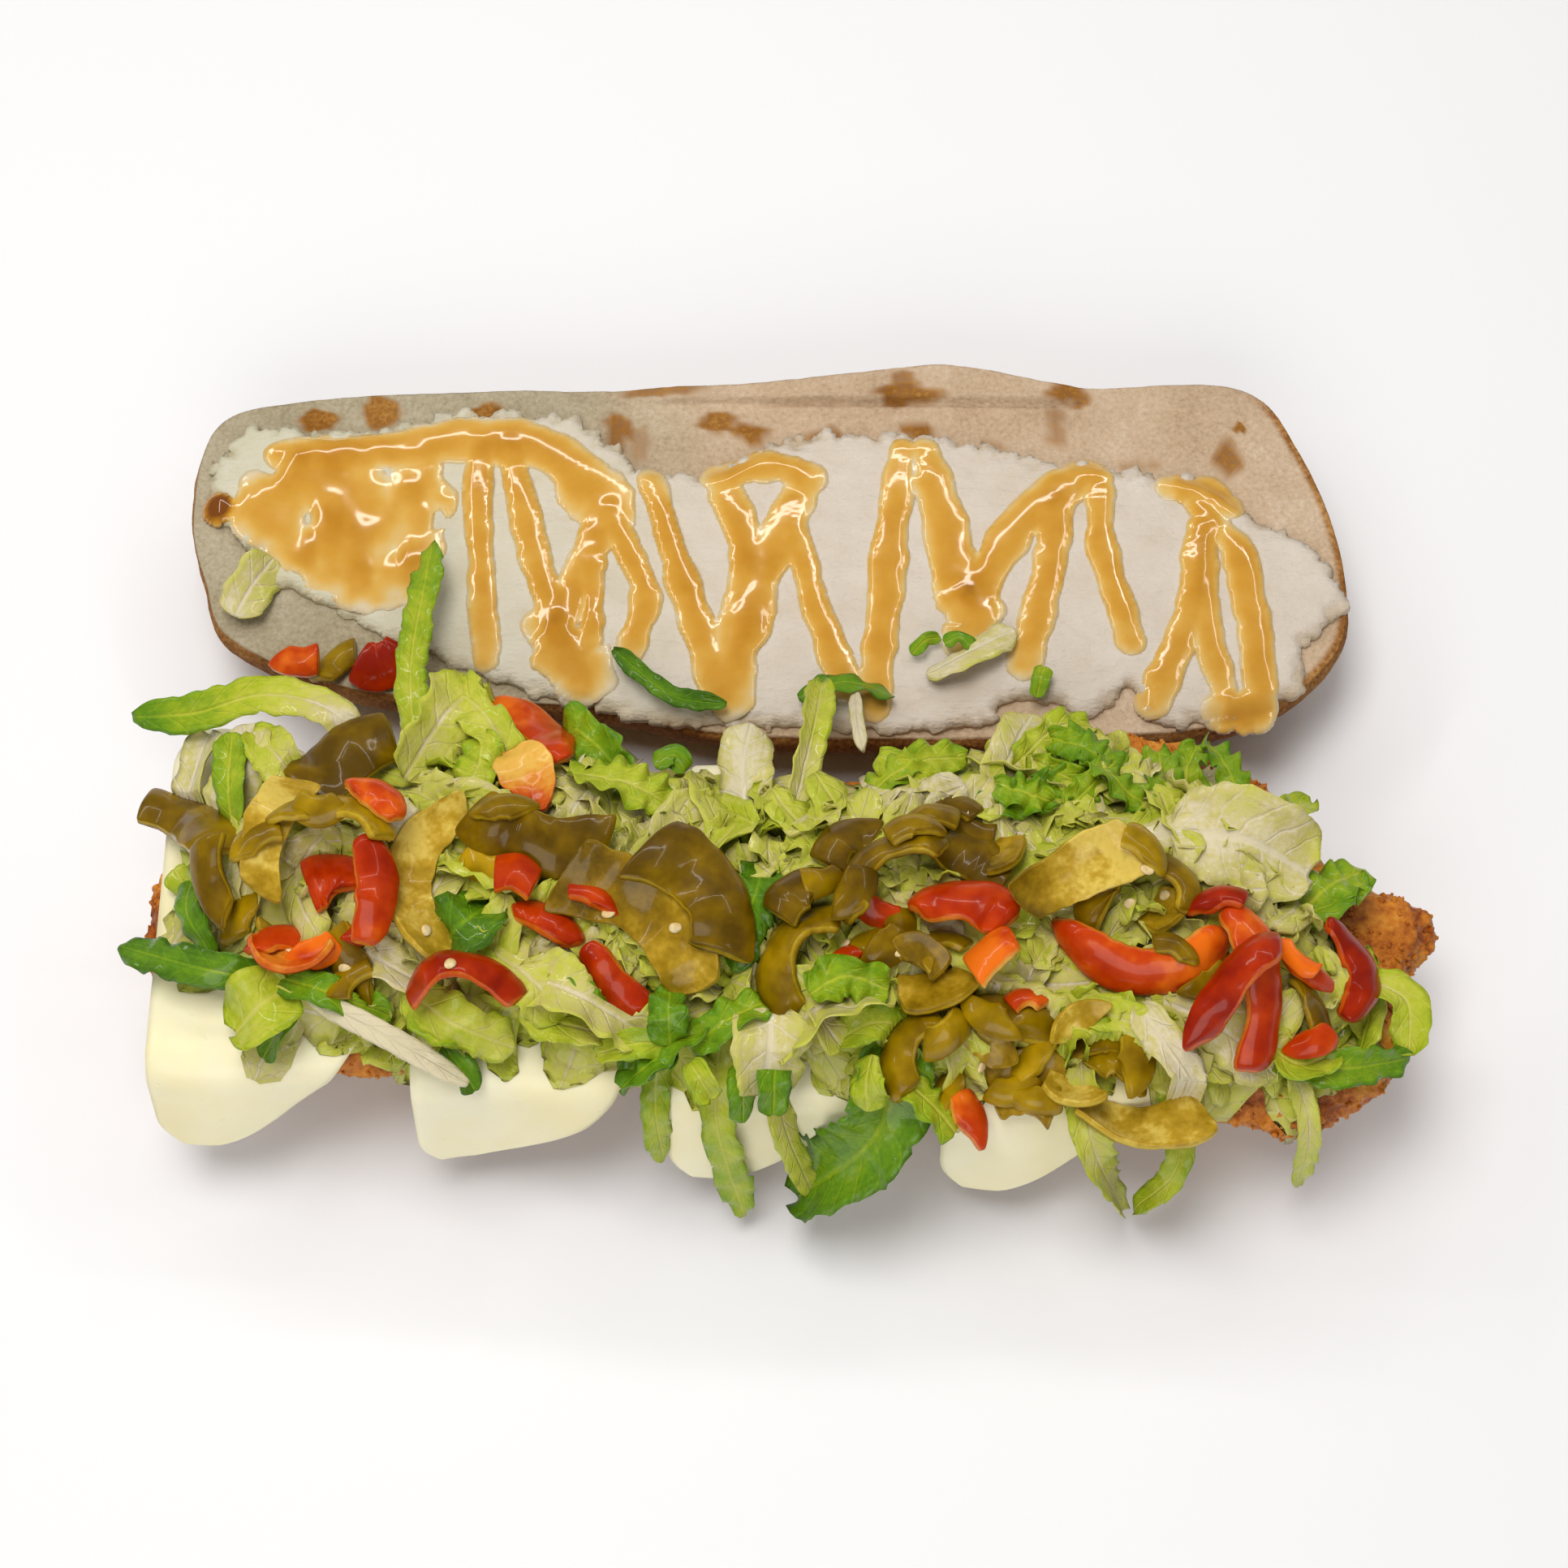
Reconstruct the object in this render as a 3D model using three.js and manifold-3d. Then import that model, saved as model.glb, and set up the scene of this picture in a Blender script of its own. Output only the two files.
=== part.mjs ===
// A fried chicken sub served open, lying as it is eaten from above.
// The lower half of a long roll carries two breaded cutlets end to end, four half slices of
// cheese whose front corners droop over the edge, a heap of shredded lettuce and strips of
// pickled green and fresh red pepper. The top half lies behind it with its cut side up,
// covered by a white spread with thick lines of sauce.
// Millimetres. X runs along the roll, Y from the front to the back, Z up from the table.

import * as THREE from 'three';
import { mergeVertices } from 'three/addons/utils/BufferGeometryUtils.js';
import Module from 'manifold-3d';

const wasm = await Module();
wasm.setup();

// ---- driving dimensions ------------------------------------------------------------------

const MIDDLE = { x: -0.5, y: 8.4 };          // middle of the whole footprint, in the layout below
const GAP = 0.4;                          // air between neighbours that rest on each other

const ROLL_FACE = 22;                     // height of the lower half's cut face
const BED = 36;                           // height of the cutlets' flat upper side
const CHEESE_RADIUS = 48;                 // a slice of 96 mm across, cut in half
const CHEESE_THICK = 1.8;
const CHEESE_TOP = BED + GAP + CHEESE_THICK;
const DROOP_RADIUS = 6;                   // bend of a slice over the cutlet's front edge
const DROOP_SLOPE = 1.28;                 // radians below level that the hanging corner takes
const HEAP_RIM = 3;                       // depth of the lettuce at its edge
const HEAP_CREST = 13.5;                  // and along the middle
const TOP_FACE_FRONT = 24.6;              // the upper half's cut face, at y = 0
const TOP_FACE_RISE = 0.02;               // and its rise for each millimetre to the back
const LIP_RISE = 1.6;                     // torn lip along the back of that face
const SPREAD_THICK = 2.2;
const SAUCE_RISE = 1.5;                   // how far a line of sauce stands above the spread
const PEPPER_WALL = 2.4;                  // flesh of a pepper
const LEAF_THICK = 0.9;
const SHORT_SHREDS = 30;

const CRUST = { color: 0xb07a4a, roughness: 0.75, metalness: 0 };
const CRUMB_COAT = { color: 0xa5572a, roughness: 0.7, metalness: 0 };
const CHEESE = { color: 0xe9e3b4, roughness: 0.45, metalness: 0 };
const LETTUCE = { color: 0xa9c266, roughness: 0.5, metalness: 0 };
const SPREAD = { color: 0xe6e1dc, roughness: 0.5, metalness: 0 };
const GREEN_PEPPER = { color: 0x84741f, roughness: 0.25, metalness: 0 };
const RED_PEPPER = { color: 0xc5301a, roughness: 0.25, metalness: 0 };

// ---- shape helpers -----------------------------------------------------------------------

function randomFrom(seed) {
  let state = seed;
  return () => {
    state = (state + 0x6d2b79f5) | 0;
    let t = Math.imul(state ^ (state >>> 15), 1 | state);
    t = (t + Math.imul(t ^ (t >>> 7), 61 | t)) ^ t;
    return ((t ^ (t >>> 14)) >>> 0) / 4294967296;
  };
}

function geometryFrom(positions, faces) {
  const geometry = new THREE.BufferGeometry();
  geometry.setAttribute('position', new THREE.Float32BufferAttribute(positions, 3));
  geometry.setIndex(faces);
  return geometry;
}

// Six times the volume inside a closed skin, negative when its faces point inwards.
function signedVolume(positions, faces) {
  const corner = (index) => new THREE.Vector3().fromArray(positions, 3 * index);
  let volume = 0;
  for (let i = 0; i < faces.length; i += 3) {
    volume += corner(faces[i]).dot(corner(faces[i + 1]).cross(corner(faces[i + 2])));
  }
  return volume;
}

function toSolid(geometry) {
  const bare = geometry.clone();
  bare.deleteAttribute('normal');
  bare.deleteAttribute('uv');
  const merged = mergeVertices(bare, 1e-4);
  return new wasm.Manifold(new wasm.Mesh({
    numProp: 3,
    vertProperties: new Float32Array(merged.attributes.position.array),
    triVerts: new Uint32Array(merged.index.array),
  }));
}

function fromSolid(solid) {
  const { numProp, vertProperties, triVerts } = solid.getMesh();
  const positions = [];
  for (let i = 0; i < vertProperties.length; i += numProp) {
    positions.push(vertProperties[i], vertProperties[i + 1], vertProperties[i + 2]);
  }
  return geometryFrom(positions, Array.from(triVerts));
}

// The largest closed body of a join: loose scraps and sealed hollows are dropped.
function largestBody(solid) {
  const bodies = solid.simplify(0.08).decompose();
  return bodies.reduce((best, body) => (body.volume() > best.volume() ? body : best));
}

// A closed skin over rings of equal length that run counter-clockwise, lowest ring first.
function ringedSolid(rings) {
  const count = rings[0].length;
  const positions = rings.flat().flatMap((point) => [point.x, point.y, point.z]);
  const faces = [];
  for (let level = 0; level + 1 < rings.length; level += 1) {
    for (let i = 0; i < count; i += 1) {
      const a = level * count + i;
      const b = level * count + ((i + 1) % count);
      faces.push(a, b, b + count, a, b + count, a + count);
    }
  }
  const cap = (ring, offset, up) => {
    const flat = ring.map((point) => new THREE.Vector2(point.x, point.y));
    for (const [a, b, c] of THREE.ShapeUtils.triangulateShape(flat, [])) {
      const turn = (flat[b].x - flat[a].x) * (flat[c].y - flat[a].y)
        - (flat[b].y - flat[a].y) * (flat[c].x - flat[a].x);
      const order = (turn > 0) === up ? [a, b, c] : [a, c, b];
      faces.push(...order.map((index) => index + offset));
    }
  };
  cap(rings[0], 0, false);
  cap(rings[rings.length - 1], (rings.length - 1) * count, true);
  return geometryFrom(positions, faces);
}

// A thin body between an upper and an under grid of points, both split into triangles alike.
function sheetSolid(upper, under) {
  const rows = upper.length;
  const columns = upper[0].length;
  const size = rows * columns;
  const positions = [...upper.flat(), ...under.flat()].flatMap((p) => [p.x, p.y, p.z]);
  const faces = [];
  for (let row = 0; row + 1 < rows; row += 1) {
    for (let column = 0; column + 1 < columns; column += 1) {
      const a = row * columns + column;
      const b = a + 1;
      const c = a + columns + 1;
      const d = a + columns;
      faces.push(a, b, c, a, c, d);
      faces.push(size + a, size + c, size + b, size + a, size + d, size + c);
    }
  }
  const edge = [];
  for (let column = 0; column + 1 < columns; column += 1) edge.push(column);
  for (let row = 0; row + 1 < rows; row += 1) edge.push(row * columns + columns - 1);
  for (let column = columns - 1; column > 0; column -= 1) edge.push((rows - 1) * columns + column);
  for (let row = rows - 1; row > 0; row -= 1) edge.push(row * columns);
  edge.forEach((a, i) => {
    const b = edge[(i + 1) % edge.length];
    faces.push(a, size + a, size + b, a, size + b, b);
  });
  return geometryFrom(positions, signedVolume(positions, faces) < 0 ? faces.reverse() : faces);
}

// A closed smooth outline through a few corners, as evenly spaced points, counter-clockwise.
function outline(corners, count) {
  const points = corners.map(([x, y]) => new THREE.Vector3(x, y, 0));
  if (THREE.ShapeUtils.isClockWise(points)) points.reverse();
  return new THREE.CatmullRomCurve3(points, true, 'centripetal').getSpacedPoints(count).slice(0, count);
}

function smoothPath(points) {
  return new THREE.CatmullRomCurve3(points.map((point) => new THREE.Vector3(...point)));
}

// A point drawn in towards the outline's long middle line by a factor from 1 to 0.
function drawnIn(point, spine, factor) {
  const along = THREE.MathUtils.clamp(point.x, spine.x0, spine.x1);
  return new THREE.Vector3(
    along + (point.x - along) * factor,
    spine.y + (point.y - spine.y) * factor,
    0,
  );
}

const topFace = (y) => TOP_FACE_FRONT + TOP_FACE_RISE * y;

// ---- the roll's two halves ---------------------------------------------------------------

// Each level is [share of the outline, height]; the crust is round below and flat where it lies.
const LOWER_LEVELS = [[0.66, 0], [0.84, 1.5], [0.95, 6], [1, 12], [0.985, 18], [0.95, 21.4]];
const LOWER_SPINE = { x0: -92, x1: 88, y: -27 };
const LOWER_CORNERS = [
  [-121, -28], [-114, -47], [-95, -56], [-30, -58], [40, -60], [94, -60],
  [113, -49], [118, -30], [111, -9], [88, 2], [30, 5], [-40, 5], [-98, 3], [-115, -8],
];

function lowerRoll() {
  const rim = outline(LOWER_CORNERS, 36);
  const rings = LOWER_LEVELS.map(([share, height]) => rim.map((point) => {
    const ring = drawnIn(point, LOWER_SPINE, share);
    ring.z = height;
    return ring;
  }));
  rings.push(rim.map((point) => {
    const ring = drawnIn(point, LOWER_SPINE, 0.9);
    ring.z = ROLL_FACE - GAP;
    return ring;
  }));
  return ringedSolid(rings);
}

const UPPER_LEVELS = [[0.4, 0], [0.62, 2], [0.8, 6], [0.92, 12], [0.985, 18], [1, 22]];
const UPPER_SPINE = { x0: -84, x1: 80, y: 56 };
const UPPER_CORNERS = [
  [-130, 66], [-127, 89], [-111, 96], [-66, 99], [-11, 100], [34, 105], [64, 100], [101, 100],
  [114, 84], [122, 55], [118, 31], [92, 15], [38, 12], [-11, 13], [-39, 19], [-92, 24],
  [-119, 36], [-126, 50],
];
const FACE_SHARE = 0.965;                 // where the crust ends and the cut crumb begins

function upperRoll() {
  const rim = outline(UPPER_CORNERS, 46);
  const rings = UPPER_LEVELS.map(([share, height]) => rim.map((point) => {
    const ring = drawnIn(point, UPPER_SPINE, share);
    ring.z = height;
    return ring;
  }));
  rings.push(rim.map((point) => {
    const ring = drawnIn(point, UPPER_SPINE, FACE_SHARE);
    ring.z = topFace(ring.y);
    return ring;
  }));
  return fromSolid(largestBody(toSolid(ringedSolid(rings)).add(toSolid(tornLip()))));
}

// The torn strip along the back, where the two halves once hung together.
function tornLip() {
  const crease = [[-36, 94.5], [0, 95], [34, 95], [66, 94.5]];
  const back = [[64, 97], [50, 99.5], [33, 101], [8, 99], [-12, 97], [-34, 96.5]];
  const shape = new THREE.Shape([...crease, ...back].map(([x, y]) => new THREE.Vector2(x, y)));
  const lip = new THREE.ExtrudeGeometry(shape, { depth: 6, bevelEnabled: false });
  lip.translate(0, 0, topFace(97) + LIP_RISE - 6);
  return lip;
}

// ---- breaded cutlets ---------------------------------------------------------------------

// Each level is [share of the outline, height above the roll's face, depth of the crags].
const CUTLET_LEVELS = [
  [0.9, 0.3, 0], [0.98, 3, 2.4], [1, 7, 3.4], [0.975, 10.5, 3], [0.9, 13.3, 2.2], [0.8, 14, 0.6],
];

function cutlet(corners, spine, seed) {
  const random = randomFrom(seed);
  const rim = outline(corners, 50);
  const rings = CUTLET_LEVELS.map(([share, rise, crag]) => rim.map((point) => {
    const out = crag * (random() - 0.5);
    const ring = drawnIn(point, spine, share + out / 30);
    ring.z = Math.min(ROLL_FACE + rise + crag * 0.5 * (random() - 0.5), BED);
    return ring;
  }));
  return ringedSolid(rings);
}

const LEFT_CUTLET = [
  [-130, -33], [-126, -20], [-119, -4], [-98, 3], [-60, 5], [-25, 3], [-11, -8], [-6, -28],
  [-10, -50], [-26, -60], [-60, -61], [-80, -63], [-105, -59], [-121, -51], [-127, -41],
];
const RIGHT_CUTLET = [
  [-2, -26], [6, -6], [24, 4], [50, 7], [76, 9], [92, 5], [102, -6], [105, -15], [117, -24],
  [131, -29], [131, -37], [126, -45], [125, -57], [116, -70], [103, -76], [88, -72], [60, -66],
  [20, -64], [4, -52],
];

// ---- half slices of cheese ---------------------------------------------------------------

// How far out a hanging length reaches, and how far it drops, once it is over the edge.
function droop(length) {
  const bend = Math.min(length / DROOP_RADIUS, DROOP_SLOPE);
  const rest = length - bend * DROOP_RADIUS;
  return {
    out: DROOP_RADIUS * Math.sin(bend) + rest * Math.cos(DROOP_SLOPE),
    drop: DROOP_RADIUS * (1 - Math.cos(bend)) + rest * Math.sin(DROOP_SLOPE),
    slope: bend,
  };
}

function cheeseSlice({ left, edge, hang, turn, wave }) {
  const rounding = 9;
  const rows = 13;
  const columns = 3;
  const upper = [];
  const under = [];
  for (let row = 0; row <= rows; row += 1) {
    const share = (row / rows) ** 1.25;
    const along = -(CHEESE_RADIUS - 1) + 2 * (CHEESE_RADIUS - 1) * share;
    const chord = Math.sqrt(CHEESE_RADIUS ** 2 - along ** 2);
    const corner = Math.max(Math.abs(along) - (CHEESE_RADIUS - rounding), 0);
    const inset = rounding - Math.sqrt(rounding ** 2 - corner ** 2);
    upper.push([]);
    under.push([]);
    for (let column = 0; column <= columns; column += 1) {
      const across = inset + (Math.max(chord, inset + 4) - inset) * (column / columns);
      const skew = along + turn * across;
      const over = Math.max(hang - CHEESE_RADIUS - skew, 0);
      const { out, drop, slope } = droop(over);
      const flat = Math.max(skew, hang - CHEESE_RADIUS);
      const ripple = over > 0 ? wave * Math.sin(across * 0.13) * Math.min(over / 15, 1) : 0;
      const base = new THREE.Vector3(
        left + across + ripple * 0.4,
        edge + flat - (hang - CHEESE_RADIUS) - out - ripple,
        BED + GAP - drop,
      );
      const normal = new THREE.Vector3(0, -Math.sin(slope), Math.cos(slope));
      under.at(-1).push(base);
      upper.at(-1).push(base.clone().addScaledVector(normal, CHEESE_THICK));
    }
  }
  return sheetSolid(upper, under);
}

const SLICES = [
  { left: -125, edge: -60, hang: 27, turn: 0.1, wave: 1.6 },
  { left: -73, edge: -63, hang: 30, turn: 0.06, wave: -1.4 },
  { left: -23, edge: -65.5, hang: 29, turn: 0.02, wave: 1.2 },
  { left: 31, edge: -67, hang: 30, turn: 0.02, wave: 1.8 },
];

// ---- the lettuce heap's core -------------------------------------------------------------

const HEAP_SPINE = { x0: -88, x1: 84, y: -29 };
const HEAP_CORNERS = [
  [-121, -26], [-113, -6], [-90, 3], [-40, 4], [-24, -3], [0, -2], [20, -2], [60, 4],
  [88, -4], [102, -24], [114, -40], [117, -60], [100, -67], [60, -64], [20, -65], [-6, -62],
  [-30, -61], [-56, -58], [-84, -56], [-108, -50],
];
// Each level is [share of the outline, share of the way from the rim's height to the crest's].
const HEAP_LEVELS = [[1, 0], [0.9, 0.3], [0.68, 0.72], [0.4, 0.94], [0.16, 1]];

function heapCore(rim, random) {
  const bottom = rim.map((point) => {
    const ring = drawnIn(point, HEAP_SPINE, 0.94);
    ring.z = CHEESE_TOP + GAP;
    return ring;
  });
  const levels = HEAP_LEVELS.map(([share, rise]) => rim.map((point) => {
    const ring = drawnIn(point, HEAP_SPINE, share);
    const crest = HEAP_CREST + 1.5 * Math.sin(ring.x * 0.09);
    ring.z = CHEESE_TOP + GAP + HEAP_RIM + (crest - HEAP_RIM) * rise;
    ring.z += (random() - 0.5) * 1.6;
    return ring;
  }));
  return ringedSolid([bottom, ...levels]);
}

// Height of the heap's upper side at a place, found by dropping onto the core's triangles;
// beyond them it is the rim's.
function heightOver(geometry) {
  const mesh = new THREE.Mesh(geometry, new THREE.MeshBasicMaterial({ side: THREE.DoubleSide }));
  const ray = new THREE.Raycaster();
  const down = new THREE.Vector3(0, 0, -1);
  return (x, y) => {
    ray.set(new THREE.Vector3(x, y, 200), down);
    const hit = ray.intersectObject(mesh)[0];
    return hit ? hit.point.z : CHEESE_TOP + GAP + HEAP_RIM;
  };
}

// ---- strips of pepper --------------------------------------------------------------------

// A strip follows an arc from one place to another; bow is the arc's height, to the left of
// the way when positive. tilt turns its width from standing (0) to lying skin up (90), and
// below 0 to lying inside up.
function pepperStrip({ from, to, bow, wide, tilt, restOn, twist, wall = PEPPER_WALL }) {
  const start = new THREE.Vector2(...from);
  const end = new THREE.Vector2(...to);
  const chord = end.distanceTo(start);
  const way = end.clone().sub(start).normalize();
  const left = new THREE.Vector2(-way.y, way.x);
  const height = Math.abs(bow) < 0.5 ? 0.5 : Math.abs(bow);
  const side = bow < 0 ? -1 : 1;
  const radius = (chord * chord / 4 + height * height) / (2 * height);
  const half = 2 * Math.atan2(2 * height, chord);
  const centre = start.clone().add(end).multiplyScalar(0.5)
    .addScaledVector(left, side * (height - radius));
  const steps = Math.max(5, Math.min(9, Math.round(radius * half * 2 / 5)));
  const upper = [];
  const under = [];
  for (let step = 0; step <= steps; step += 1) {
    const share = step / steps;
    const angle = half * (2 * share - 1);
    const outward = left.clone().multiplyScalar(side * Math.cos(angle))
      .addScaledVector(way, Math.sin(angle));
    const tangent = left.clone().multiplyScalar(-side * Math.sin(angle))
      .addScaledVector(way, Math.cos(angle));
    const lean = THREE.MathUtils.degToRad(tilt + twist * (share - 0.5));
    const skin = new THREE.Vector3(outward.x * Math.cos(lean), outward.y * Math.cos(lean), Math.sin(lean));
    const along = new THREE.Vector3(tangent.x, tangent.y, 0);
    const width = new THREE.Vector3().crossVectors(along, skin).normalize();
    const taper = Math.max(0.5, Math.min(1, 2.6 * Math.sin(Math.PI * (0.1 + 0.8 * share)) ** 0.9));
    const span = wide * taper * 0.5;
    const place = centre.clone().addScaledVector(outward, radius);
    const reach = Math.abs(width.z) * span + 0.5 * wall;
    const middle = new THREE.Vector3(place.x, place.y, restOn(place.x, place.y) + reach);
    upper.push([]);
    under.push([]);
    for (const across of [1, 0, -1]) {
      const cup = 0.16 * wide * (1 - across * across);
      const thick = wall * (across === 0 ? 1 : 0.7) * taper;
      const point = middle.clone().addScaledVector(width, across * span).addScaledVector(skin, cup);
      upper.at(-1).push(point.clone().addScaledVector(skin, thick / 2));
      under.at(-1).push(point.clone().addScaledVector(skin, -thick / 2));
    }
  }
  return sheetSolid(upper, under);
}

// Where each strip lies: [from x, y, to x, y, bow, width, tilt].
const GREEN_STRIPS = [
  [-62, -17.5, -64, -47.5, -10, 9, -60], [-79, 3.5, -95, -13.5, -2, 14, 80],
  [-61, -19, -34, -25, -4, 12, 70], [-43, -34, -17, -54, 6, 14, -65], [-27, -29, -12, -49, 6, 15, 80],
  [61.5, -41, 77.5, -40, 12, 9, 50], [45.5, -40.5, 68.5, -28.5, 2, 12, -60],
  [27, -23.5, 43, -33.5, 2, 11, 70], [14, -43, 31, -30, 8, 8, 50], [11, -41, 2, -58, -8, 9, 45],
  [58, -73, 82, -75, -3, 10, -60], [-95.5, -11.5, -101.5, -35.5, -2, 9, -70],
  [-129.5, -10.5, -110.5, -26.5, 3, 10, 80], [-97, -24, -77, -28, 6, 8, 45],
  [-112, -25, -108, -39, -2, 7, 70], [15, -48, 29, -49, 3, 9, 60], [22, -55, 36, -51, -2, 9, -60],
  [24, -72, 30, -60, 5, 8, 55], [35, -60, 50, -63, 4, 10, 60], [40, -71, 53, -72, 3, 12, -65],
  [59.5, -67.5, 66.5, -70.5, 3, 8, 60], [98, -54, 103, -63, 2, 7, 60],
  [-87.5, -42, -79.5, -52, -1, 8, 60], [7, -36, -1, -42, -2, 9, 75], [9, -30, 18, -24, 3, 10, 80],
  [-98, 25, -91, 33, 1, 7, 75],
];
const RED_STRIPS = [
  [54.5, -39.5, 84.5, -42.5, -10, 11, 40], [25.5, -40.5, 43.5, -43, 3.5, 11.5, 70],
  [-59.5, 14, -44.5, -5, 3, 10, 60], [-72, -57, -51, -57, 5, 8, 60], [83.5, -40, 88.5, -69, 5, 9, 65],
  [94, -50, 79, -66, -3, 8, 65], [-52.5, -39.5, -40.5, -45.5, 2, 8, 70], [-38, -45, -26, -56, -2, 7, 60],
  [105, -40.5, 108, -57.5, 6, 8, 50], [-93, -33, -83, -34, 2, 12, 80], [-81.5, -27, -80.5, -47, 3, 8, 70],
  [-103, -42.5, -88, -44.5, -4, 8, -50], [-54, -2, -50, -16, 1, 11, -75],
  [-84.5, -17.5, -74.5, -24.5, 2, 8, 60], [36, -54, 44, -47, 1, 9, 60], [97, -45, 106, -53, -3, 5, 45],
  [34, -71, 36, -79, 1, 7, 60], [-56, -32.5, -48, -35.5, 1, 8, 70], [-107, 31, -98, 28, -1, 8, 75],
  [-90.5, 29.5, -80.5, 32.5, -3, 9, 75],
];

// ---- shreds of lettuce -------------------------------------------------------------------

// A wavy strip of leaf along a path: it lifts in the middle, and its two edges ruffle apart.
function leafStrip({ path, wide, random, steps = 6, sway = 1.4 }) {
  const curve = smoothPath(path);
  const phase = random() * 6.28;
  const lean = (random() - 0.5) * 1.1;
  const upper = [];
  const under = [];
  for (let step = 0; step <= steps; step += 1) {
    const share = step / steps;
    const place = curve.getPoint(share);
    const tangent = curve.getTangent(share);
    const flat = new THREE.Vector3(-tangent.y, tangent.x, 0).normalize();
    const turn = lean + 0.45 * Math.sin(share * 5 + phase);
    const normal = new THREE.Vector3().crossVectors(tangent, flat).normalize();
    const width = flat.clone().multiplyScalar(Math.cos(turn)).addScaledVector(normal, Math.sin(turn));
    const facing = new THREE.Vector3().crossVectors(tangent, width).normalize();
    const span = wide * 0.5 * (0.55 + 0.45 * Math.sin(Math.PI * (0.12 + 0.8 * share)));
    const bend = sway * Math.sin(share * 9 + phase);
    upper.push([]);
    under.push([]);
    for (const across of [1, -1]) {
      const ruffle = bend * across * 0.6 + bend * 0.4;
      const point = place.clone().addScaledVector(width, across * span).addScaledVector(facing, ruffle);
      upper.at(-1).push(point.clone().addScaledVector(facing, LEAF_THICK / 2));
      under.at(-1).push(point.clone().addScaledVector(facing, -LEAF_THICK / 2));
    }
  }
  return sheetSolid(upper, under);
}

// The shreds that stand out, each as its width and the places it runs through.
const LONG_SHREDS = [
  [9, [-108, -4, 45], [-118, 8, 49], [-133, 7, 46]], [8, [-112, -12, 47], [-104, 4, 50], [-89, 7, 48]],
  [12, [-112, -16, 47], [-108, -4, 51], [-110, 5, 47]], [7, [-74, 0, 46], [-77, 22, 42], [-75, 55, 34]],
  [13, [-76, -8, 50], [-68, 6, 51], [-62, 15, 46]], [11, [-52, -9, 50], [-60, 5, 52], [-68, 14, 46]],
  [10, [-30, -10, 48], [-38, 0, 49], [-46, 7, 46]], [7, [2, -14, 49], [6, 6, 46], [8, 20, 37]],
  [12, [-7, -15, 47], [-8, -4, 46], [-7, 8, 42]], [9, [15, -12, 47], [26, -4, 48], [37, -1, 45]],
  [10, [42, -10, 48], [47, 2, 47], [51, 10, 42]], [8, [46, -4, 47], [55, 5, 46], [63, 7, 42]],
  [10, [38, -14, 49], [48, -14, 52], [60, -6, 48]], [9, [56, -15, 50], [64, -8, 50], [72, 1, 45]],
  [10, [77, -17, 49], [75, -7, 48], [76, 3, 43]], [8, [91, -14, 46], [90, -4, 45], [85, 6, 42]],
  [19, [76, -22, 50], [90, -25, 53], [103, -30, 47]], [7, [94, -20, 44], [101, -13, 44], [107, -9, 40]],
  [10, [99, -38, 47], [107, -31, 48], [116, -25, 43]], [8, [112, -48, 44], [121, -53, 44], [122, -63, 40]],
  [8, [94, -66, 43], [108, -67, 44], [122, -63, 39]], [5, [98, -64, 42], [102, -76, 36], [103, -81, 14]],
  [8, [57, -62, 44], [60, -80, 35], [68, -85, 9]], [6, [74, -62, 43], [77, -81, 30], [70, -86, 12]],
  [17, [22, -60, 46], [18, -77, 34], [3, -83, 11]], [6, [-4, -60, 45], [0, -75, 33], [6, -83, 12]],
  [8, [-12, -58, 46], [-13, -75, 34], [-8, -85, 6]], [6, [-24, -58, 44], [-25, -72, 36], [-24, -78, 20]],
  [8, [-31, -68, 43], [-22, -64, 49], [-14, -60, 48]],
  [8, [-18, -64, 47], [-10, -60, 53], [-2, -55, 50]],
  [9, [-4, -28, 52], [-6, -38, 58], [-10, -50, 52]], [18, [-2, -62, 46], [8, -58, 54], [19, -52, 51]],
  [8, [52, -55, 50], [68, -61, 51], [87, -68, 42]], [12, [70, -54, 50], [84, -61, 50], [95, -68, 42]],
  [8, [-98, -50, 46], [-114, -48, 49], [-131, -41, 42]], [11, [-107, -60, 43], [-101, -55, 49], [-95, -50, 47]],
  [7, [-92, -54, 47], [-76, -62, 50], [-60, -71, 40]], [7, [-100, -49, 47], [-88, -54, 51], [-76, -57, 46]],
  [6, [-112, -44, 45], [-117, -36, 48], [-118, -27, 43]], [13, [-69, -47, 50], [-62, -42, 56], [-57, -36, 52]],
  [13, [-50, -50, 50], [-39, -56, 54], [-27, -61, 47]], [11, [-74, -52, 48], [-64, -60, 51], [-52, -63, 44]],
];
// Scraps that lie loose on the upper half, in the same form.
const LOOSE_SCRAPS = [
  [4.5, [-36, 31, 31], [-24, 20, 31.5], [-12, 18, 31]],
  [8, [30, 25, 30.5], [40, 30, 32], [49, 36, 30.5]],
  [11, [-117, 40, 28.6], [-114, 47, 29.4], [-110, 54, 29]],
];

// Short shreds arch over the core, the largest first, spread evenly by the golden ratio.
function shortShreds(count) {
  const random = randomFrom(51);
  return Array.from({ length: count }, (_, index) => {
    const size = 1 - index / count;
    const x = -112 + 222 * ((index * 0.618034 + random() * 0.02) % 1);
    const y = -64 + 64 * ((index * 0.754878 + random() * 0.05) % 1);
    const heading = random() * 2 * Math.PI;
    const reach = 7 + 7 * size + 3 * random();
    const ends = [-1, 0.1, 1].map((side) => [
      x + side * reach * Math.cos(heading),
      y + side * reach * Math.sin(heading) * 0.8,
    ]);
    const rise = [-1.4, 2 + 3 * random(), 0.5 + 2 * random()];
    const path = ends.map(([px, py], i) => [px, py, overHeap(px, py) + rise[i]]);
    return { path, wide: 4 + 6 * size * random() + 1, steps: 4 };
  });
}

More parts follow.
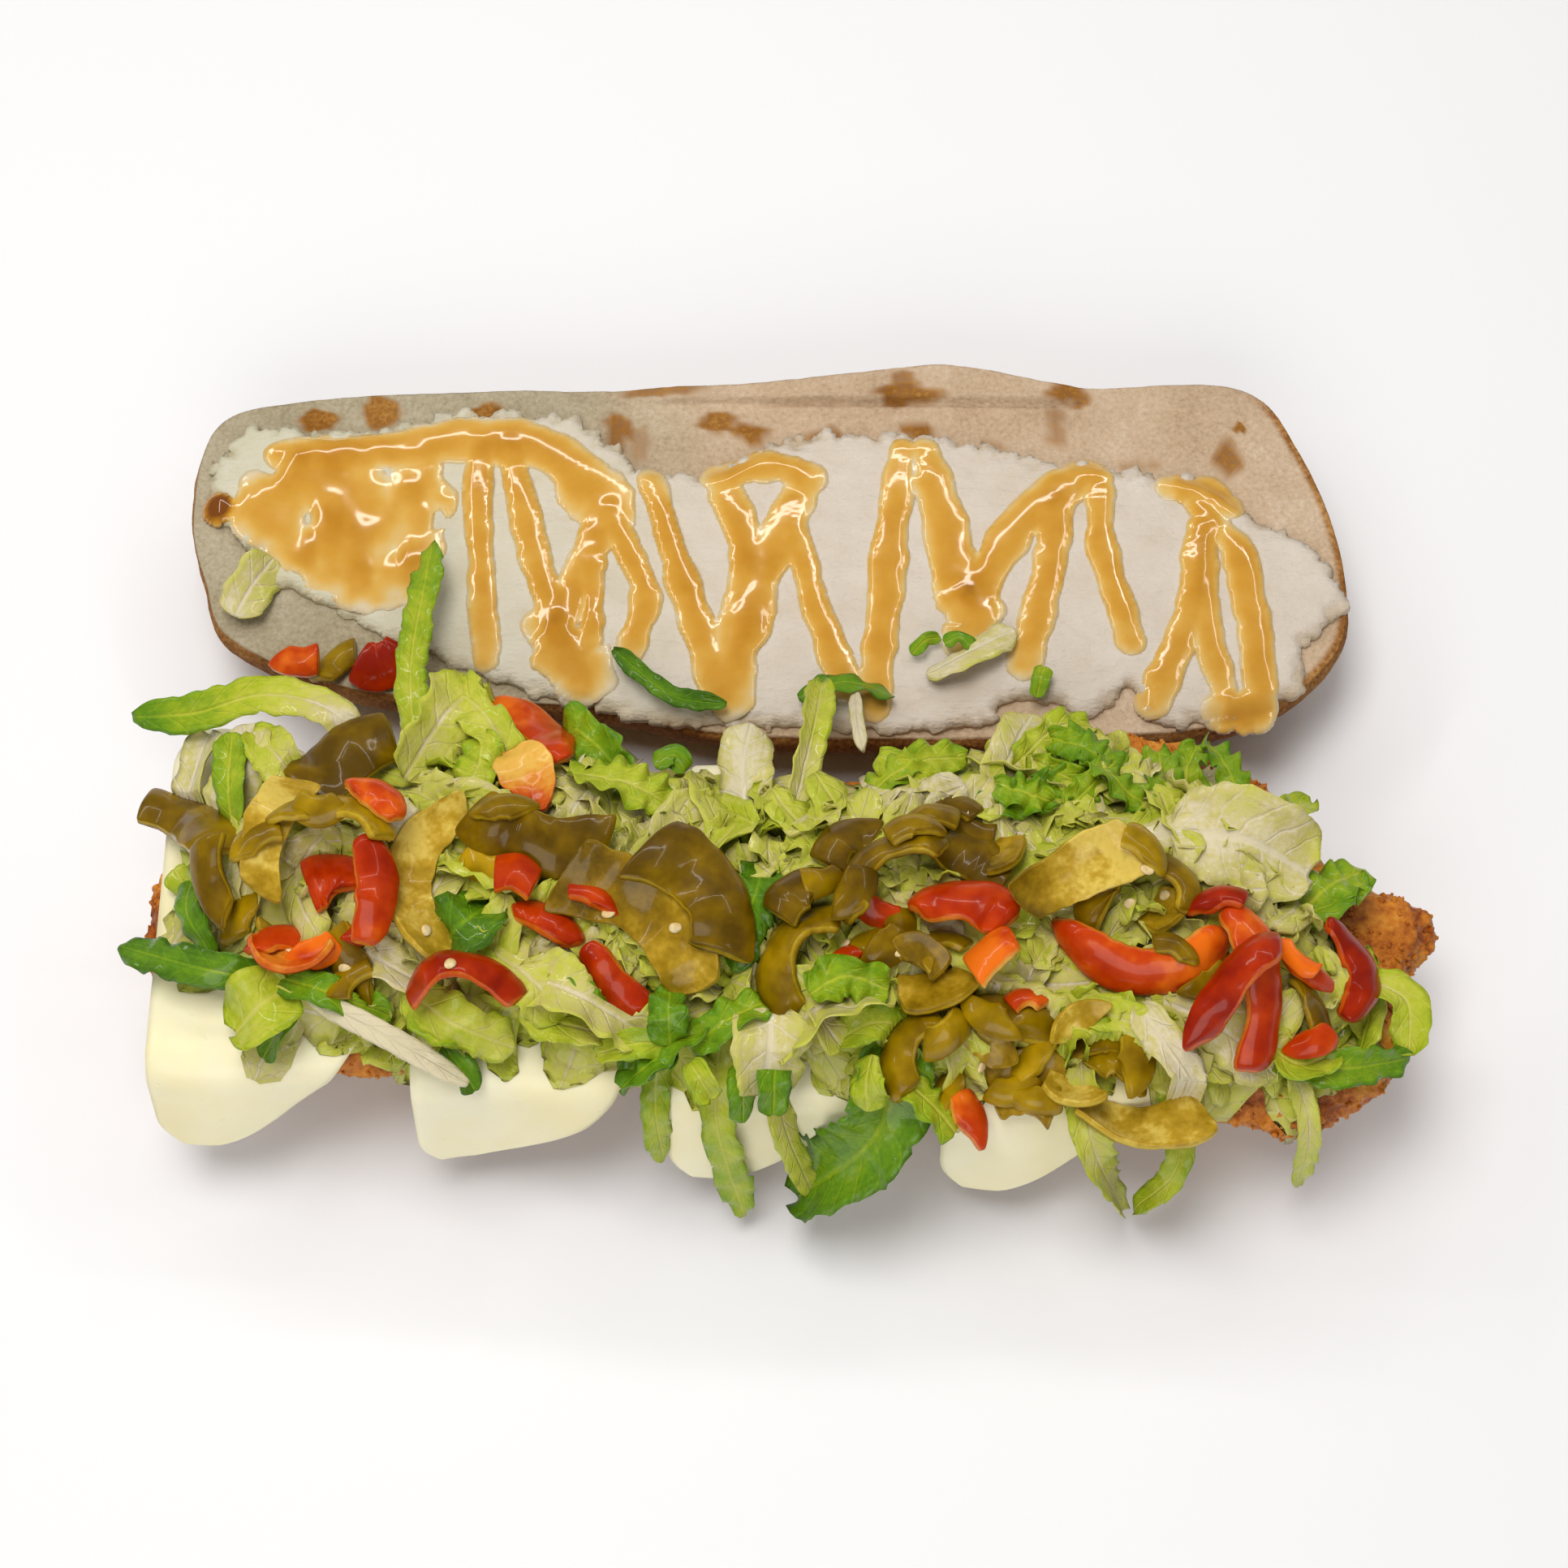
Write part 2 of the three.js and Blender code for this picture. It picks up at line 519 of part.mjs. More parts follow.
function clearOf(solid, others, room) {
  const box = solid.boundingBox();
  return others.every((other) => {
    const near = other.boundingBox();
    for (let axis = 0; axis < 3; axis += 1) {
      if (box.min[axis] > near.max[axis] + room || near.min[axis] > box.max[axis] + room) return true;
    }
    return solid.minGap(other, room * 2) >= room;
  });
}

// Sinks a piece a little, then raises it by small steps until it lies on what is below it.
function settled(geometry, others, sink) {
  geometry.translate(0, 0, -sink);
  let solid = toSolid(geometry);
  for (let step = 0; step < 60 && !clearOf(solid, others, GAP); step += 1) {
    geometry.translate(0, 0, 0.4);
    solid = toSolid(geometry);
  }
  return solid;
}

// ---- the spread and its lines of sauce ---------------------------------------------------

const SPREAD_CORNERS = [
  [-125, 68], [-118, 88], [-98, 86], [-72, 91], [-46, 89], [-30, 77], [-14, 76], [0, 84], [38, 86],
  [60, 79], [84, 76], [104, 64], [118, 54], [120, 43], [110, 33], [109, 23], [91, 17], [77, 16],
  [73, 30], [66, 19], [50, 23], [38, 17], [2, 16], [-30, 20], [-56, 28], [-84, 41], [-106, 51],
];
// Each stroke is its width and the places it runs through.
const SAUCE_STROKES = [
  [7, [-110, 80], [-88, 80], [-66, 84], [-48, 78], [-39, 66]], [4, [-67, 84], [-66, 62], [-63, 30]],
  [4.5, [-60, 82], [-54, 56], [-43, 24]], [5, [-39, 66], [-48, 38]], [4, [-38, 66], [-30, 46], [-33, 31]],
  [3.5, [-41, 56], [-41, 34]], [5, [-29, 74], [-22, 50], [-14, 23]], [5.5, [-13, 74], [-8, 52], [-12, 22]],
  [5, [-14, 75], [-2, 77], [6, 74]], [6, [4, 72], [-3, 52], [-11, 26]], [4.5, [2, 68], [5, 50], [13, 24]],
  [5.5, [26, 81], [23, 58], [19, 20]], [6, [31, 81], [36, 58], [42, 36]], [6, [40, 44], [51, 63], [66, 76]],
  [5.5, [61, 73], [57, 52], [51, 29]], [4.5, [69, 74], [69, 56], [74, 35]], [5.5, [78, 24], [86, 42], [93, 60]],
  [5, [88, 70], [99, 56], [99, 20]], [5, [95, 60], [92, 38], [92, 22]],
];

function spread() {
  const random = randomFrom(11);
  const rim = outline(SPREAD_CORNERS, 72);
  const middle = { x0: -84, x1: 84, y: 54 };
  const ragged = rim.map((point) => drawnIn(point, middle, 1 + (random() - 0.5) * 0.045));
  const level = (share, rise) => ragged.map((point) => {
    const ring = drawnIn(point, middle, share);
    ring.z = topFace(ring.y) + GAP + rise;
    return ring;
  });
  const levels = [level(0.985, 0), level(1, SPREAD_THICK * 0.6), level(0.98, SPREAD_THICK)];
  const layer = toSolid(ringedSolid(levels));
  const strokes = SAUCE_STROKES.map(([wide, ...places]) => toSolid(sauceStroke(wide, places)));
  strokes.push(toSolid(saucePool()));
  return largestBody(strokes.reduce((joined, stroke) => joined.add(stroke), layer));
}

// A line of sauce: a low rounded ridge whose foot is sunk in the spread.
function sauceStroke(wide, places) {
  const top = (y) => topFace(y) + GAP + SPREAD_THICK;
  const curve = smoothPath(places.map(([x, y]) => [x, y, 0]));
  const steps = Math.max(4, Math.round(curve.getLength() / 12));
  const upper = [];
  const under = [];
  for (let step = 0; step <= steps; step += 1) {
    const place = curve.getPoint(step / steps);
    const tangent = curve.getTangent(step / steps);
    const flat = new THREE.Vector3(-tangent.y, tangent.x, 0);
    const at = (across, rise) => {
      const point = place.clone().addScaledVector(flat, across * wide);
      point.z = top(point.y) + rise;
      return point;
    };
    upper.push([at(0.3, SAUCE_RISE), at(-0.3, SAUCE_RISE)]);
    under.push([at(0.5, -SPREAD_THICK / 2), at(-0.5, -SPREAD_THICK / 2)]);
  }
  return sheetSolid(upper, under);
}

// The sauce that ran together at the left end.
function saucePool() {
  const rim = outline([[-118, 66], [-110, 80], [-92, 82], [-80, 74], [-80, 56], [-92, 52], [-108, 56]], 18);
  const middle = { x0: -104, x1: -92, y: 68 };
  return ringedSolid([[1, -SPREAD_THICK / 2], [0.94, 0.7], [0.75, SAUCE_RISE]].map(([share, rise]) => (
    rim.map((point) => {
      const ring = drawnIn(point, middle, share);
      ring.z = topFace(ring.y) + GAP + SPREAD_THICK + rise;
      return ring;
    })
  )));
}

// ---- putting it together -----------------------------------------------------------------

const sandwich = new THREE.Group();

function place(name, geometry, looks) {
  const mesh = new THREE.Mesh(geometry, new THREE.MeshStandardMaterial(looks));
  mesh.name = name;
  mesh.position.set(-MIDDLE.x, -MIDDLE.y, 0);
  sandwich.add(mesh);
}

place('roll_bottom', lowerRoll(), CRUST);
const upperHalf = upperRoll();
place('roll_top', upperHalf, CRUST);
const cutlets = [
  cutlet(LEFT_CUTLET, { x0: -98, x1: -38, y: -29 }, 3),
  cutlet(RIGHT_CUTLET, { x0: 30, x1: 96, y: -33 }, 5),
];
place('cutlet_left', cutlets[0], CRUMB_COAT);
place('cutlet_right', cutlets[1], CRUMB_COAT);
const slices = SLICES.map((slice) => cheeseSlice(slice));
slices.forEach((slice, index) => place(`cheese_${index + 1}`, slice, CHEESE));

const spreadBody = spread();
place('spread', fromSolid(spreadBody), SPREAD);

const coreRandom = randomFrom(21);
const coreGeometry = heapCore(outline(HEAP_CORNERS, 40), coreRandom);
const core = toSolid(coreGeometry);
const overHeap = heightOver(coreGeometry);

// Strips are laid one after another, each on the heap and on the strips before it.
const around = [core, spreadBody, toSolid(upperHalf), ...slices.map(toSolid), ...cutlets.map(toSolid)];
const strips = [];
function layStrips(rows, name, looks, seed) {
  const random = randomFrom(seed);
  rows.forEach(([x0, y0, x1, y1, bow, wide, tilt], index) => {
    const onRoll = y0 > 15;
    const restOn = (x, y) => (onRoll ? topFace(y) + GAP : overHeap(x, y));
    const shape = { from: [x0, y0], to: [x1, y1], bow, wide, tilt, restOn, twist: 30 * (random() - 0.5) };
    const geometry = pepperStrip(shape);
    strips.push(settled(geometry, [...around, ...strips], onRoll ? 0 : 3));
    place(`${name}_${String(index + 1).padStart(2, '0')}`, geometry, looks);
  });
}
layStrips(GREEN_STRIPS, 'green_pepper', GREEN_PEPPER, 31);
layStrips(RED_STRIPS, 'red_pepper', RED_PEPPER, 37);

const leafRandom = randomFrom(41);
const scraps = LOOSE_SCRAPS.map(([wide, ...path], index) => {
  const geometry = leafStrip({ path, wide, random: leafRandom, sway: 0.7 });
  const scrap = settled(geometry, [...around, ...strips], 1);
  place(`lettuce_scrap_${index + 1}`, geometry, LETTUCE);
  return scrap;
});

// Shreds are fused to the core. One that would cross a neighbour is bent up or cut shorter,
// and left out where that doesn't clear it.
const obstacles = [...around.slice(1), ...strips, ...scraps];
const FITS = [[1, 0], [1, 2.5], [0.8, 0], [1, 5], [0.8, 3], [0.6, 0], [0.6, 4], [0.45, 1]];
let heap = core;
function fuseShred({ path, wide, steps }) {
  const [start, via, end] = path.map((point) => new THREE.Vector3(...point));
  start.z = Math.min(start.z, overHeap(start.x, start.y) - 1.2);
  for (const [share, lift] of FITS) {
    const middle = start.clone().lerp(via, share).add(new THREE.Vector3(0, 0, lift));
    const tip = via.clone().lerp(end, share * share).lerp(middle, 1 - share);
    tip.z += lift * 0.6;
    const bent = [start, middle, tip].map((point) => point.toArray());
    const shape = { path: bent, wide: wide * (0.7 + 0.3 * share), random: leafRandom, steps };
    const solid = toSolid(leafStrip(shape));
    if (clearOf(solid, obstacles, GAP) && solid.intersect(core).volume() > 1) {
      heap = heap.add(solid);
      return;
    }
  }
}
for (const [wide, ...path] of LONG_SHREDS) fuseShred({ path, wide, steps: 6 });
for (const shred of shortShreds(SHORT_SHREDS)) fuseShred(shred);
place('lettuce', fromSolid(largestBody(heap)), LETTUCE);

export default sandwich;
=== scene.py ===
import math
import bmesh
import bpy
import numpy as np
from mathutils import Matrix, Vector, noise
from mathutils.bvhtree import BVHTree


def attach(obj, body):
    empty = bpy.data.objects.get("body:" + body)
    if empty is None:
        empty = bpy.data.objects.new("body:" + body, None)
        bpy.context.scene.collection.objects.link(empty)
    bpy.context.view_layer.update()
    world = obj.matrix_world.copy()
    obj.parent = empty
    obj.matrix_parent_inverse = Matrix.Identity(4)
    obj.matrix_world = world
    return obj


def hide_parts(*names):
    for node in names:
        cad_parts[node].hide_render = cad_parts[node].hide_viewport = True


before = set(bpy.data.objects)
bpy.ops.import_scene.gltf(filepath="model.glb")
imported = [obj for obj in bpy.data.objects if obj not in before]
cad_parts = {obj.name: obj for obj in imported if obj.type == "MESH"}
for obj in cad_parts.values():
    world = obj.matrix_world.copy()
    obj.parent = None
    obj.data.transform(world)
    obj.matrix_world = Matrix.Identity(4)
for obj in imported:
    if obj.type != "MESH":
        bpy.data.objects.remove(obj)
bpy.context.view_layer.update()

# ---- Lower half of the roll ----------------------------------------------------------------
# A long soft sub roll, baked golden and split lengthwise. This half lies crust down and carries
# the filling, which hides nearly all of its cut face.

# Places are in layout millimetres: x along the roll, y from the front to the back, z up from
# the floor. The layout's zero lies this far from the frame's.
LAYOUT_ZERO = np.array((0.5, -8.4, 0.0))
# A half is its outline from above, the line that it is drawn in to (from x, to x, at y), and its
# side's profile from the underside to the cut face: share of the outline and height.
LOWER_CORNERS = [
    (-121, -28), (-114, -47), (-95, -56), (-30, -58), (40, -60), (94, -60), (113, -49),
    (118, -30), (111, -9), (88, 2), (30, 5), (-40, 5), (-98, 3), (-115, -8),
]
LOWER_SPINE = (-92, 88, -27)
LOWER_SIDE = [(0.66, 0), (0.84, 1.5), (0.95, 6), (1, 12), (0.985, 18), (0.95, 21.2), (0.9, 21.6)]
LOWER_FACE = 21.3


def lumps(points, size, seed=0, octaves=1):
    """Smooth noise of about -1 to 1 at each point; size is the millimetres between lumps."""
    shifted = np.asarray(points, float) / size + 7.31 * seed
    if shifted.shape[1] == 2:
        shifted = np.column_stack([shifted, np.full(len(shifted), 0.37)])
    return np.array([noise.fractal(point, 1.0, 2.0, octaves) for point in shifted.tolist()])


def along_lumps(run, size, seed, octaves=1):
    """The same noise along a line, from the millimetres run so far."""
    return lumps(np.column_stack([run, np.zeros(len(run))]), size, seed, octaves)


def ease(values, low, high):
    """0 below low, 1 above high and a soft step between them."""
    share = np.clip((values - low) / (high - low), 0, 1)
    return share * share * (3 - 2 * share)


def smooth_line(corners, count, closed=False):
    """Evenly spaced points along a smooth line through a few corners."""
    corners = np.array(corners, float)
    if closed:
        before, start, end, after = (np.roll(corners, shift, 0) for shift in (1, 0, -1, -2))
    else:
        ends = [2 * corners[:1] - corners[1:2], corners, 2 * corners[-1:] - corners[-2:-1]]
        longer = np.vstack(ends)
        before, start, end, after = longer[:-3], longer[1:-2], longer[2:-1], longer[3:]
    share = np.linspace(0, 1, 20, endpoint=False)[:, None, None]
    square = (2 * before - 5 * start + 4 * end - after) * share ** 2
    cube = (3 * start - before - 3 * end + after) * share ** 3
    dense = start + 0.5 * ((end - before) * share + square + cube)
    dense = dense.transpose(1, 0, 2).reshape(-1, corners.shape[1])
    dense = np.vstack([dense, corners[:1] if closed else corners[-1:]])
    length = np.append(0, np.cumsum(np.linalg.norm(np.diff(dense, axis=0), axis=1)))
    places = np.linspace(0, length[-1], count, endpoint=not closed)
    return np.stack([np.interp(places, length, axis) for axis in dense.T], 1)


def drawn_in(rim, spine, share):
    """The rim's points drawn in towards its long middle line by a share from 1 to 0."""
    along = np.clip(rim[:, 0], spine[0], spine[1])
    return np.column_stack([along + (rim[:, 0] - along) * share, spine[2] + (rim[:, 1] - spine[2]) * share])


def ringed(rings):
    """Points and faces of a closed skin over rings of equal length, lowest first."""
    count = len(rings[0])
    here = np.arange(count)
    after = np.roll(here, -1)
    faces = []
    for low in range(0, (len(rings) - 1) * count, count):
        band = np.stack([here + low, after + low, after + low + count, here + low + count], 1)
        faces += band.tolist()
    faces.append(here[::-1].tolist())
    faces.append((here + (len(rings) - 1) * count).tolist())
    return np.concatenate(rings), faces


def make_piece(name, points, faces, values=None):
    """A smooth mesh piece from points in layout millimetres, with a value kept at each point."""
    mesh = bpy.data.meshes.new(name)
    mesh.from_pydata(((np.asarray(points) + LAYOUT_ZERO) / 1000).tolist(), [], faces)
    for key, value in (values or {}).items():
        keep_value(mesh, key, value)
    work = bmesh.new()
    work.from_mesh(mesh)
    bmesh.ops.recalc_face_normals(work, faces=work.faces)
    work.to_mesh(mesh)
    work.free()
    mesh.polygons.foreach_set("use_smooth", [True] * len(mesh.polygons))
    piece = bpy.data.objects.new(name, mesh)
    bpy.context.scene.collection.objects.link(piece)
    return piece


def keep_value(mesh, key, value):
    """Keeps a number at each point of a mesh, for its material to read."""
    kept = mesh.attributes.new(key, "FLOAT", "POINT")
    kept.data.foreach_set("value", np.asarray(value, np.float32))


def places_of(piece):
    """The layout places of a piece's points, in millimetres."""
    flat = np.empty(len(piece.data.vertices) * 3, np.float32)
    piece.data.vertices.foreach_get("co", flat)
    return flat.reshape(-1, 3) * 1000.0 - LAYOUT_ZERO


def move_to(piece, points):
    """Puts a piece's points at new layout places."""
    flat = ((points + LAYOUT_ZERO) / 1000).astype(np.float32).ravel()
    piece.data.vertices.foreach_set("co", flat)
    piece.data.update()


def push_out(piece, depth):
    """Moves each point along its normal by its depth in millimetres."""
    normals = np.empty(len(piece.data.vertices) * 3, np.float32)
    piece.data.vertex_normals.foreach_get("vector", normals)
    move_to(piece, places_of(piece) + normals.reshape(-1, 3) * np.asarray(depth)[:, None])


def linear(code):
    """The linear colour of an sRGB hex code."""
    parts = [int(code[i:i + 2], 16) / 255 for i in (1, 3, 5)]
    return [c / 12.92 if c <= 0.04045 else ((c + 0.055) / 1.055) ** 2.4 for c in parts] + [1.0]


def add_node(tree, kind, settings=None, inputs=None):
    """Adds a node; an input's value may be a plain value or another node's output."""
    node = tree.nodes.new(kind)
    for key, value in (settings or {}).items():
        if key == "stops":
            ramp = node.color_ramp
            while len(ramp.elements) < len(value):
                ramp.elements.new(0.5)
            for element, (position, code) in zip(ramp.elements, value):
                element.position = position
                element.color = linear(code)
        else:
            setattr(node, key, value)
    for key, value in (inputs or {}).items():
        if isinstance(value, bpy.types.NodeSocket):
            tree.links.new(value, node.inputs[key])
        else:
            node.inputs[key].default_value = value
    return node


def start_material(name, **sockets):
    """A material with one principled shader, its node tree, and the piece's own coordinates."""
    material = bpy.data.materials.new(name)
    material.use_nodes = True
    tree = material.node_tree
    shader = tree.nodes["Principled BSDF"]
    for key, value in sockets.items():
        shader.inputs[key.replace("_", " ")].default_value = value
    here = add_node(tree, "ShaderNodeTexCoord").outputs["Object"]
    return material, tree, shader, here


def grain(tree, place, size, detail=3.0, rough=0.5):
    """Noise of about 0 to 1 with features of a size in millimetres."""
    return add_node(tree, "ShaderNodeTexNoise", None,
                    {"Vector": place, "Scale": 1000 / size, "Detail": detail, "Roughness": rough}).outputs[0]


def sum_of(tree, first, factor, second, clamp=False):
    """first times factor plus second; each may be a number or a socket."""
    return add_node(tree, "ShaderNodeMath", {"operation": "MULTIPLY_ADD", "use_clamp": clamp},
                    {0: first, 1: factor, 2: second}).outputs[0]


def shades(tree, value, stops):
    """A colour read off a row of stops by a value from 0 to 1."""
    return add_node(tree, "ShaderNodeValToRGB", {"stops": stops}, {"Fac": value}).outputs[0]


def mixed(tree, factor, first, second):
    """A mix of two colours."""
    return add_node(tree, "ShaderNodeMix", {"data_type": "RGBA"}, {0: factor, 6: first, 7: second}).outputs[2]


def kept(tree, name):
    """A number kept at the points of the piece."""
    return add_node(tree, "ShaderNodeAttribute", {"attribute_name": name}).outputs["Fac"]


def bumpy(tree, shader, height, depth, strength=0.5):
    """Fine relief on the shader, from a height of 0 to 1 that stands for a depth in millimetres."""
    bump = add_node(tree, "ShaderNodeBump", None,
                    {"Height": height, "Strength": strength, "Distance": depth / 1000})
    tree.links.new(bump.outputs[0], shader.inputs["Normal"])


def baked_crust():
    """Baked wheat crust: a thin dull brown skin, paler where flour lay, finely wrinkled."""
    material, tree, shader, here = start_material("baked_crust", Roughness=0.62, IOR=1.45)
    shader.inputs["Specular IOR Level"].default_value = 0.35
    fine = grain(tree, here, 2.2, 4.0)
    shade = sum_of(tree, fine, 0.35, grain(tree, here, 34, 5.0))
    colour = shades(tree, shade, [(0.46, "#744a22"), (0.6, "#9c6c38"), (0.74, "#b98a50"), (0.9, "#cdaa78")])
    tree.links.new(colour, shader.inputs["Base Color"])
    bumpy(tree, shader, fine, 0.4, 0.35)
    return material


crust = baked_crust()


def lower_half():
    """The half that lies crust down, with a flat underside and a level cut face."""
    rim = smooth_line(LOWER_CORNERS, 240, closed=True)
    rings = []
    for share in np.linspace(0.02, 0.64, 12):
        rings.append(np.column_stack([drawn_in(rim, LOWER_SPINE, share), np.zeros(len(rim))]))
    for share, height in smooth_line(LOWER_SIDE, 26):
        rings.append(np.column_stack([drawn_in(rim, LOWER_SPINE, share), np.full(len(rim), height)]))
    for share in np.linspace(0.86, 0.02, 14):
        ring = drawn_in(rim, LOWER_SPINE, share)
        rings.append(np.column_stack([ring, LOWER_FACE + 0.3 * lumps(ring, 6, 4)]))
    points, faces = ringed(rings)
    piece = make_piece("lower_half", points, faces)
    lifted = ease(points[:, 2], 0.2, 3)
    push_out(piece, lifted * (0.9 * lumps(points, 30, 1) + 0.3 * lumps(points, 7, 2, 2)) - 0.5 * lifted)
    piece.data.materials.append(crust)
    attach(piece, "root")
    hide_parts("roll_bottom")


lower_half()

# ---- Upper half of the roll ----------------------------------------------------------------
# The other half of the roll lies behind with its cut side up. The crumb is pressed and
# speckled, amber where sauce ran into it, greyed by painted shade towards its left end, and
# tears to a lip along the back crease.

# Height of the cut side at y = 0, its rise for each millimetre to the back, and how far the torn
# lip stands above it and the crease before the lip lies below it.
TOP_FACE_FRONT = 24.6
TOP_FACE_RISE = 0.02
LIP_RISE = 1.6
CREASE_DEPTH = 1.2
UPPER_CORNERS = [
    (-130, 66), (-127, 89), (-111, 96), (-66, 99), (-11, 100), (34, 105), (64, 100), (101, 100),
    (114, 84), (122, 55), (118, 31), (92, 15), (38, 12), (-11, 13), (-39, 19), (-92, 24),
    (-119, 36), (-126, 50),
]
UPPER_SPINE = (-84, 80, 56)
UPPER_SIDE = [(0.4, 0), (0.62, 2), (0.8, 6), (0.92, 12), (0.985, 18), (1, 22), (0.988, 23.6)]
CREASE = [(-36, 94.5), (0, 95), (34, 95), (66, 94.5)]
# Where sauce ran into the crumb, and one small hole at (100, 89) whose shade is painted as a
# dark spot: middle x, y, half length, half depth and how dark.
SOAKED = [
    (-103, 90, 4.6, 3.0, 1.0), (-89, 92, 4.2, 3.8, 0.9), (-66, 92.5, 5.0, 2.2, 1.0),
    (-27, 97.5, 9.5, 1.9, 0.75), (-37, 88, 3.6, 4.2, 0.8), (-14, 90, 4.4, 2.3, 0.9),
    (-7, 87.5, 4.4, 2.2, 0.9), (-13, 76, 2.6, 3.0, 1.0), (27, 99, 3.2, 3.4, 0.7),
    (27, 96.5, 8.0, 2.0, 0.85), (63, 97, 4.8, 3.4, 0.85), (60, 88, 2.6, 5.0, 0.6),
    (9, 87, 3.6, 2.8, 0.8), (30, 87, 4.4, 2.0, 0.9), (98, 81, 3.2, 5.2, 0.8),
    (100, 89, 1.3, 0.9, 1.0), (-32, 84, 2.2, 6.0, 0.5), (-121, 74, 4.0, 5.0, 0.7),
    (46, 84, 3.0, 2.0, 0.5), (78, 80, 6.0, 1.6, 0.5),
]


def top_face(y):
    """Height of the cut side, which rises a little to the back."""
    return TOP_FACE_FRONT + TOP_FACE_RISE * y


def pressed_crumb():
    """Cut side of the roll: matt beige crumb with fine pores, amber where sauce ran in, greyer towards the
    left end by painted shade, and dark at one small hole by painted shade.
    """
    material, tree, shader, here = start_material("pressed_bread_crumb", Roughness=0.85, IOR=1.4)
    shader.inputs["Specular IOR Level"].default_value = 0.25
    fine = grain(tree, here, 1.0, 5.0, 0.7)
    value = sum_of(tree, fine, 0.6, sum_of(tree, grain(tree, here, 16, 4.0), 0.4, 0.0))
    # Lit and shaded copies of the crumb's colour; the shaded copy is painted shade, mixed in towards the left
    # end.
    lit = shades(tree, value, [(0.34, "#b0967c"), (0.46, "#c3aa8e"), (0.56, "#cdb59b"), (0.68, "#dac8b2")])
    dim = shades(tree, value, [(0.34, "#94886e"), (0.46, "#a89c82"), (0.56, "#b5aa92"), (0.68, "#c4baa4")])
    crumb = mixed(tree, kept(tree, "dim"), lit, dim)
    # Amber of the sauce stains; at one small hole the darkest of it is painted shade.
    wet = shades(tree, value, [(0.36, "#744612"), (0.5, "#976426"), (0.64, "#b48646")])
    skin = shades(tree, value, [(0.36, "#6b401d"), (0.5, "#996836"), (0.64, "#bd915a")])
    ragged = sum_of(tree, fine, 0.9, kept(tree, "soaked"))
    stain = add_node(tree, "ShaderNodeMapRange", None,
                     {"Value": ragged, "From Min": 0.6, "From Max": 1.3}).outputs[0]
    colour = mixed(tree, kept(tree, "crust"), mixed(tree, stain, crumb, wet), skin)
    tree.links.new(colour, shader.inputs["Base Color"])
    shine = sum_of(tree, stain, -0.4, 0.85)
    tree.links.new(shine, shader.inputs["Roughness"])
    pores = add_node(tree, "ShaderNodeTexVoronoi", None, {"Vector": here, "Scale": 1000 / 1.9})
    bumpy(tree, shader, sum_of(tree, pores.outputs[0], 0.5, fine), 0.7, 0.6)
    return material


def upper_half():
    """The half that lies cut side up, with its torn lip, amber where sauce ran into the crumb, painted shade
    towards its left end and a painted dark hole.
    """
    rim = smooth_line(UPPER_CORNERS, 340, closed=True)
    rings, crusts = [], []
    for share in np.linspace(0.02, 0.38, 6):
        rings.append(np.column_stack([drawn_in(rim, UPPER_SPINE, share), np.zeros(len(rim))]))
        crusts.append(1.0)
    for share, height in smooth_line(UPPER_SIDE, 28):
        rings.append(np.column_stack([drawn_in(rim, UPPER_SPINE, share), np.full(len(rim), height)]))
        crusts.append(1.0)
    crease = smooth_line(CREASE, 60)
    face_shares = np.concatenate([np.linspace(0.978, 0.72, 30), np.linspace(0.66, 0.02, 10)])
    for share in face_shares:
        ring = drawn_in(rim, UPPER_SPINE, share)
        height = top_face(ring[:, 1]) + 0.5 * lumps(ring, 17, 2) + 0.25 * lumps(ring, 3, 3, 3)
        behind = ring[:, 1] - np.interp(ring[:, 0], crease[:, 0], crease[:, 1])
        along = ease(ring[:, 0], -40, -20) * (1 - ease(ring[:, 0], 58, 70))
        groove = np.exp(-((behind + 0.3) / 0.6) ** 2) * ease(ring[:, 0], -10, 6)
        height += along * (LIP_RISE * ease(behind, -0.4, 0.9) - CREASE_DEPTH * groove)
        height -= 0.7 * (share > 0.97)
        rings.append(np.column_stack([ring, height]))
        crusts.append(1.0 if share > 0.972 else 0.0)
    points, faces = ringed(rings)
    crusty = np.repeat(crusts, len(rim))
    shares = np.repeat(np.append(np.zeros(len(rings) - len(face_shares)), face_shares), len(rim))
    brown_end = ease(points[:, 0] + 4 * lumps(points, 9, 44, 2), 98, 110) * ease(shares, 0.915, 0.95)
    wander = points[:, :2] + np.column_stack([lumps(points, 5, 41, 2), lumps(points, 5, 42, 2)]) * 1.8
    # Sauce stains, and one small hole painted dark as shade.
    soaked = np.zeros(len(points))
    for x, y, long, deep, dark in SOAKED:
        far = np.hypot((wander[:, 0] - x) / long, (wander[:, 1] - y) / deep)
        soaked = np.maximum(soaked, dark * (1 - ease(far, 0.7, 1.35)))
    soaked *= 1 - crusty
    # Painted shade: the crumb turns greyer and darker towards the left end.
    dim = 1 - ease(points[:, 0] + 12 * lumps(points, 14, 43), -60, 0)
    browned = np.maximum(crusty, brown_end)
    piece = make_piece("upper_half", points, faces, {"crust": browned, "soaked": soaked, "dim": dim})
    lifted = ease(points[:, 2], 0.2, 3) * crusty
    push_out(piece, lifted * (0.8 * lumps(points, 28, 1) + 0.3 * lumps(points, 6, 2, 2) - 0.4))
    piece.data.materials.append(pressed_crumb())
    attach(piece, "root")
    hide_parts("roll_top")
    return piece


upper = upper_half()

# ---- White spread --------------------------------------------------------------------------
# A whipped garlic spread pulled over the crumb with a knife. It is matt and opaque, thin and
# ragged at its edge, with fine pulled ridges.

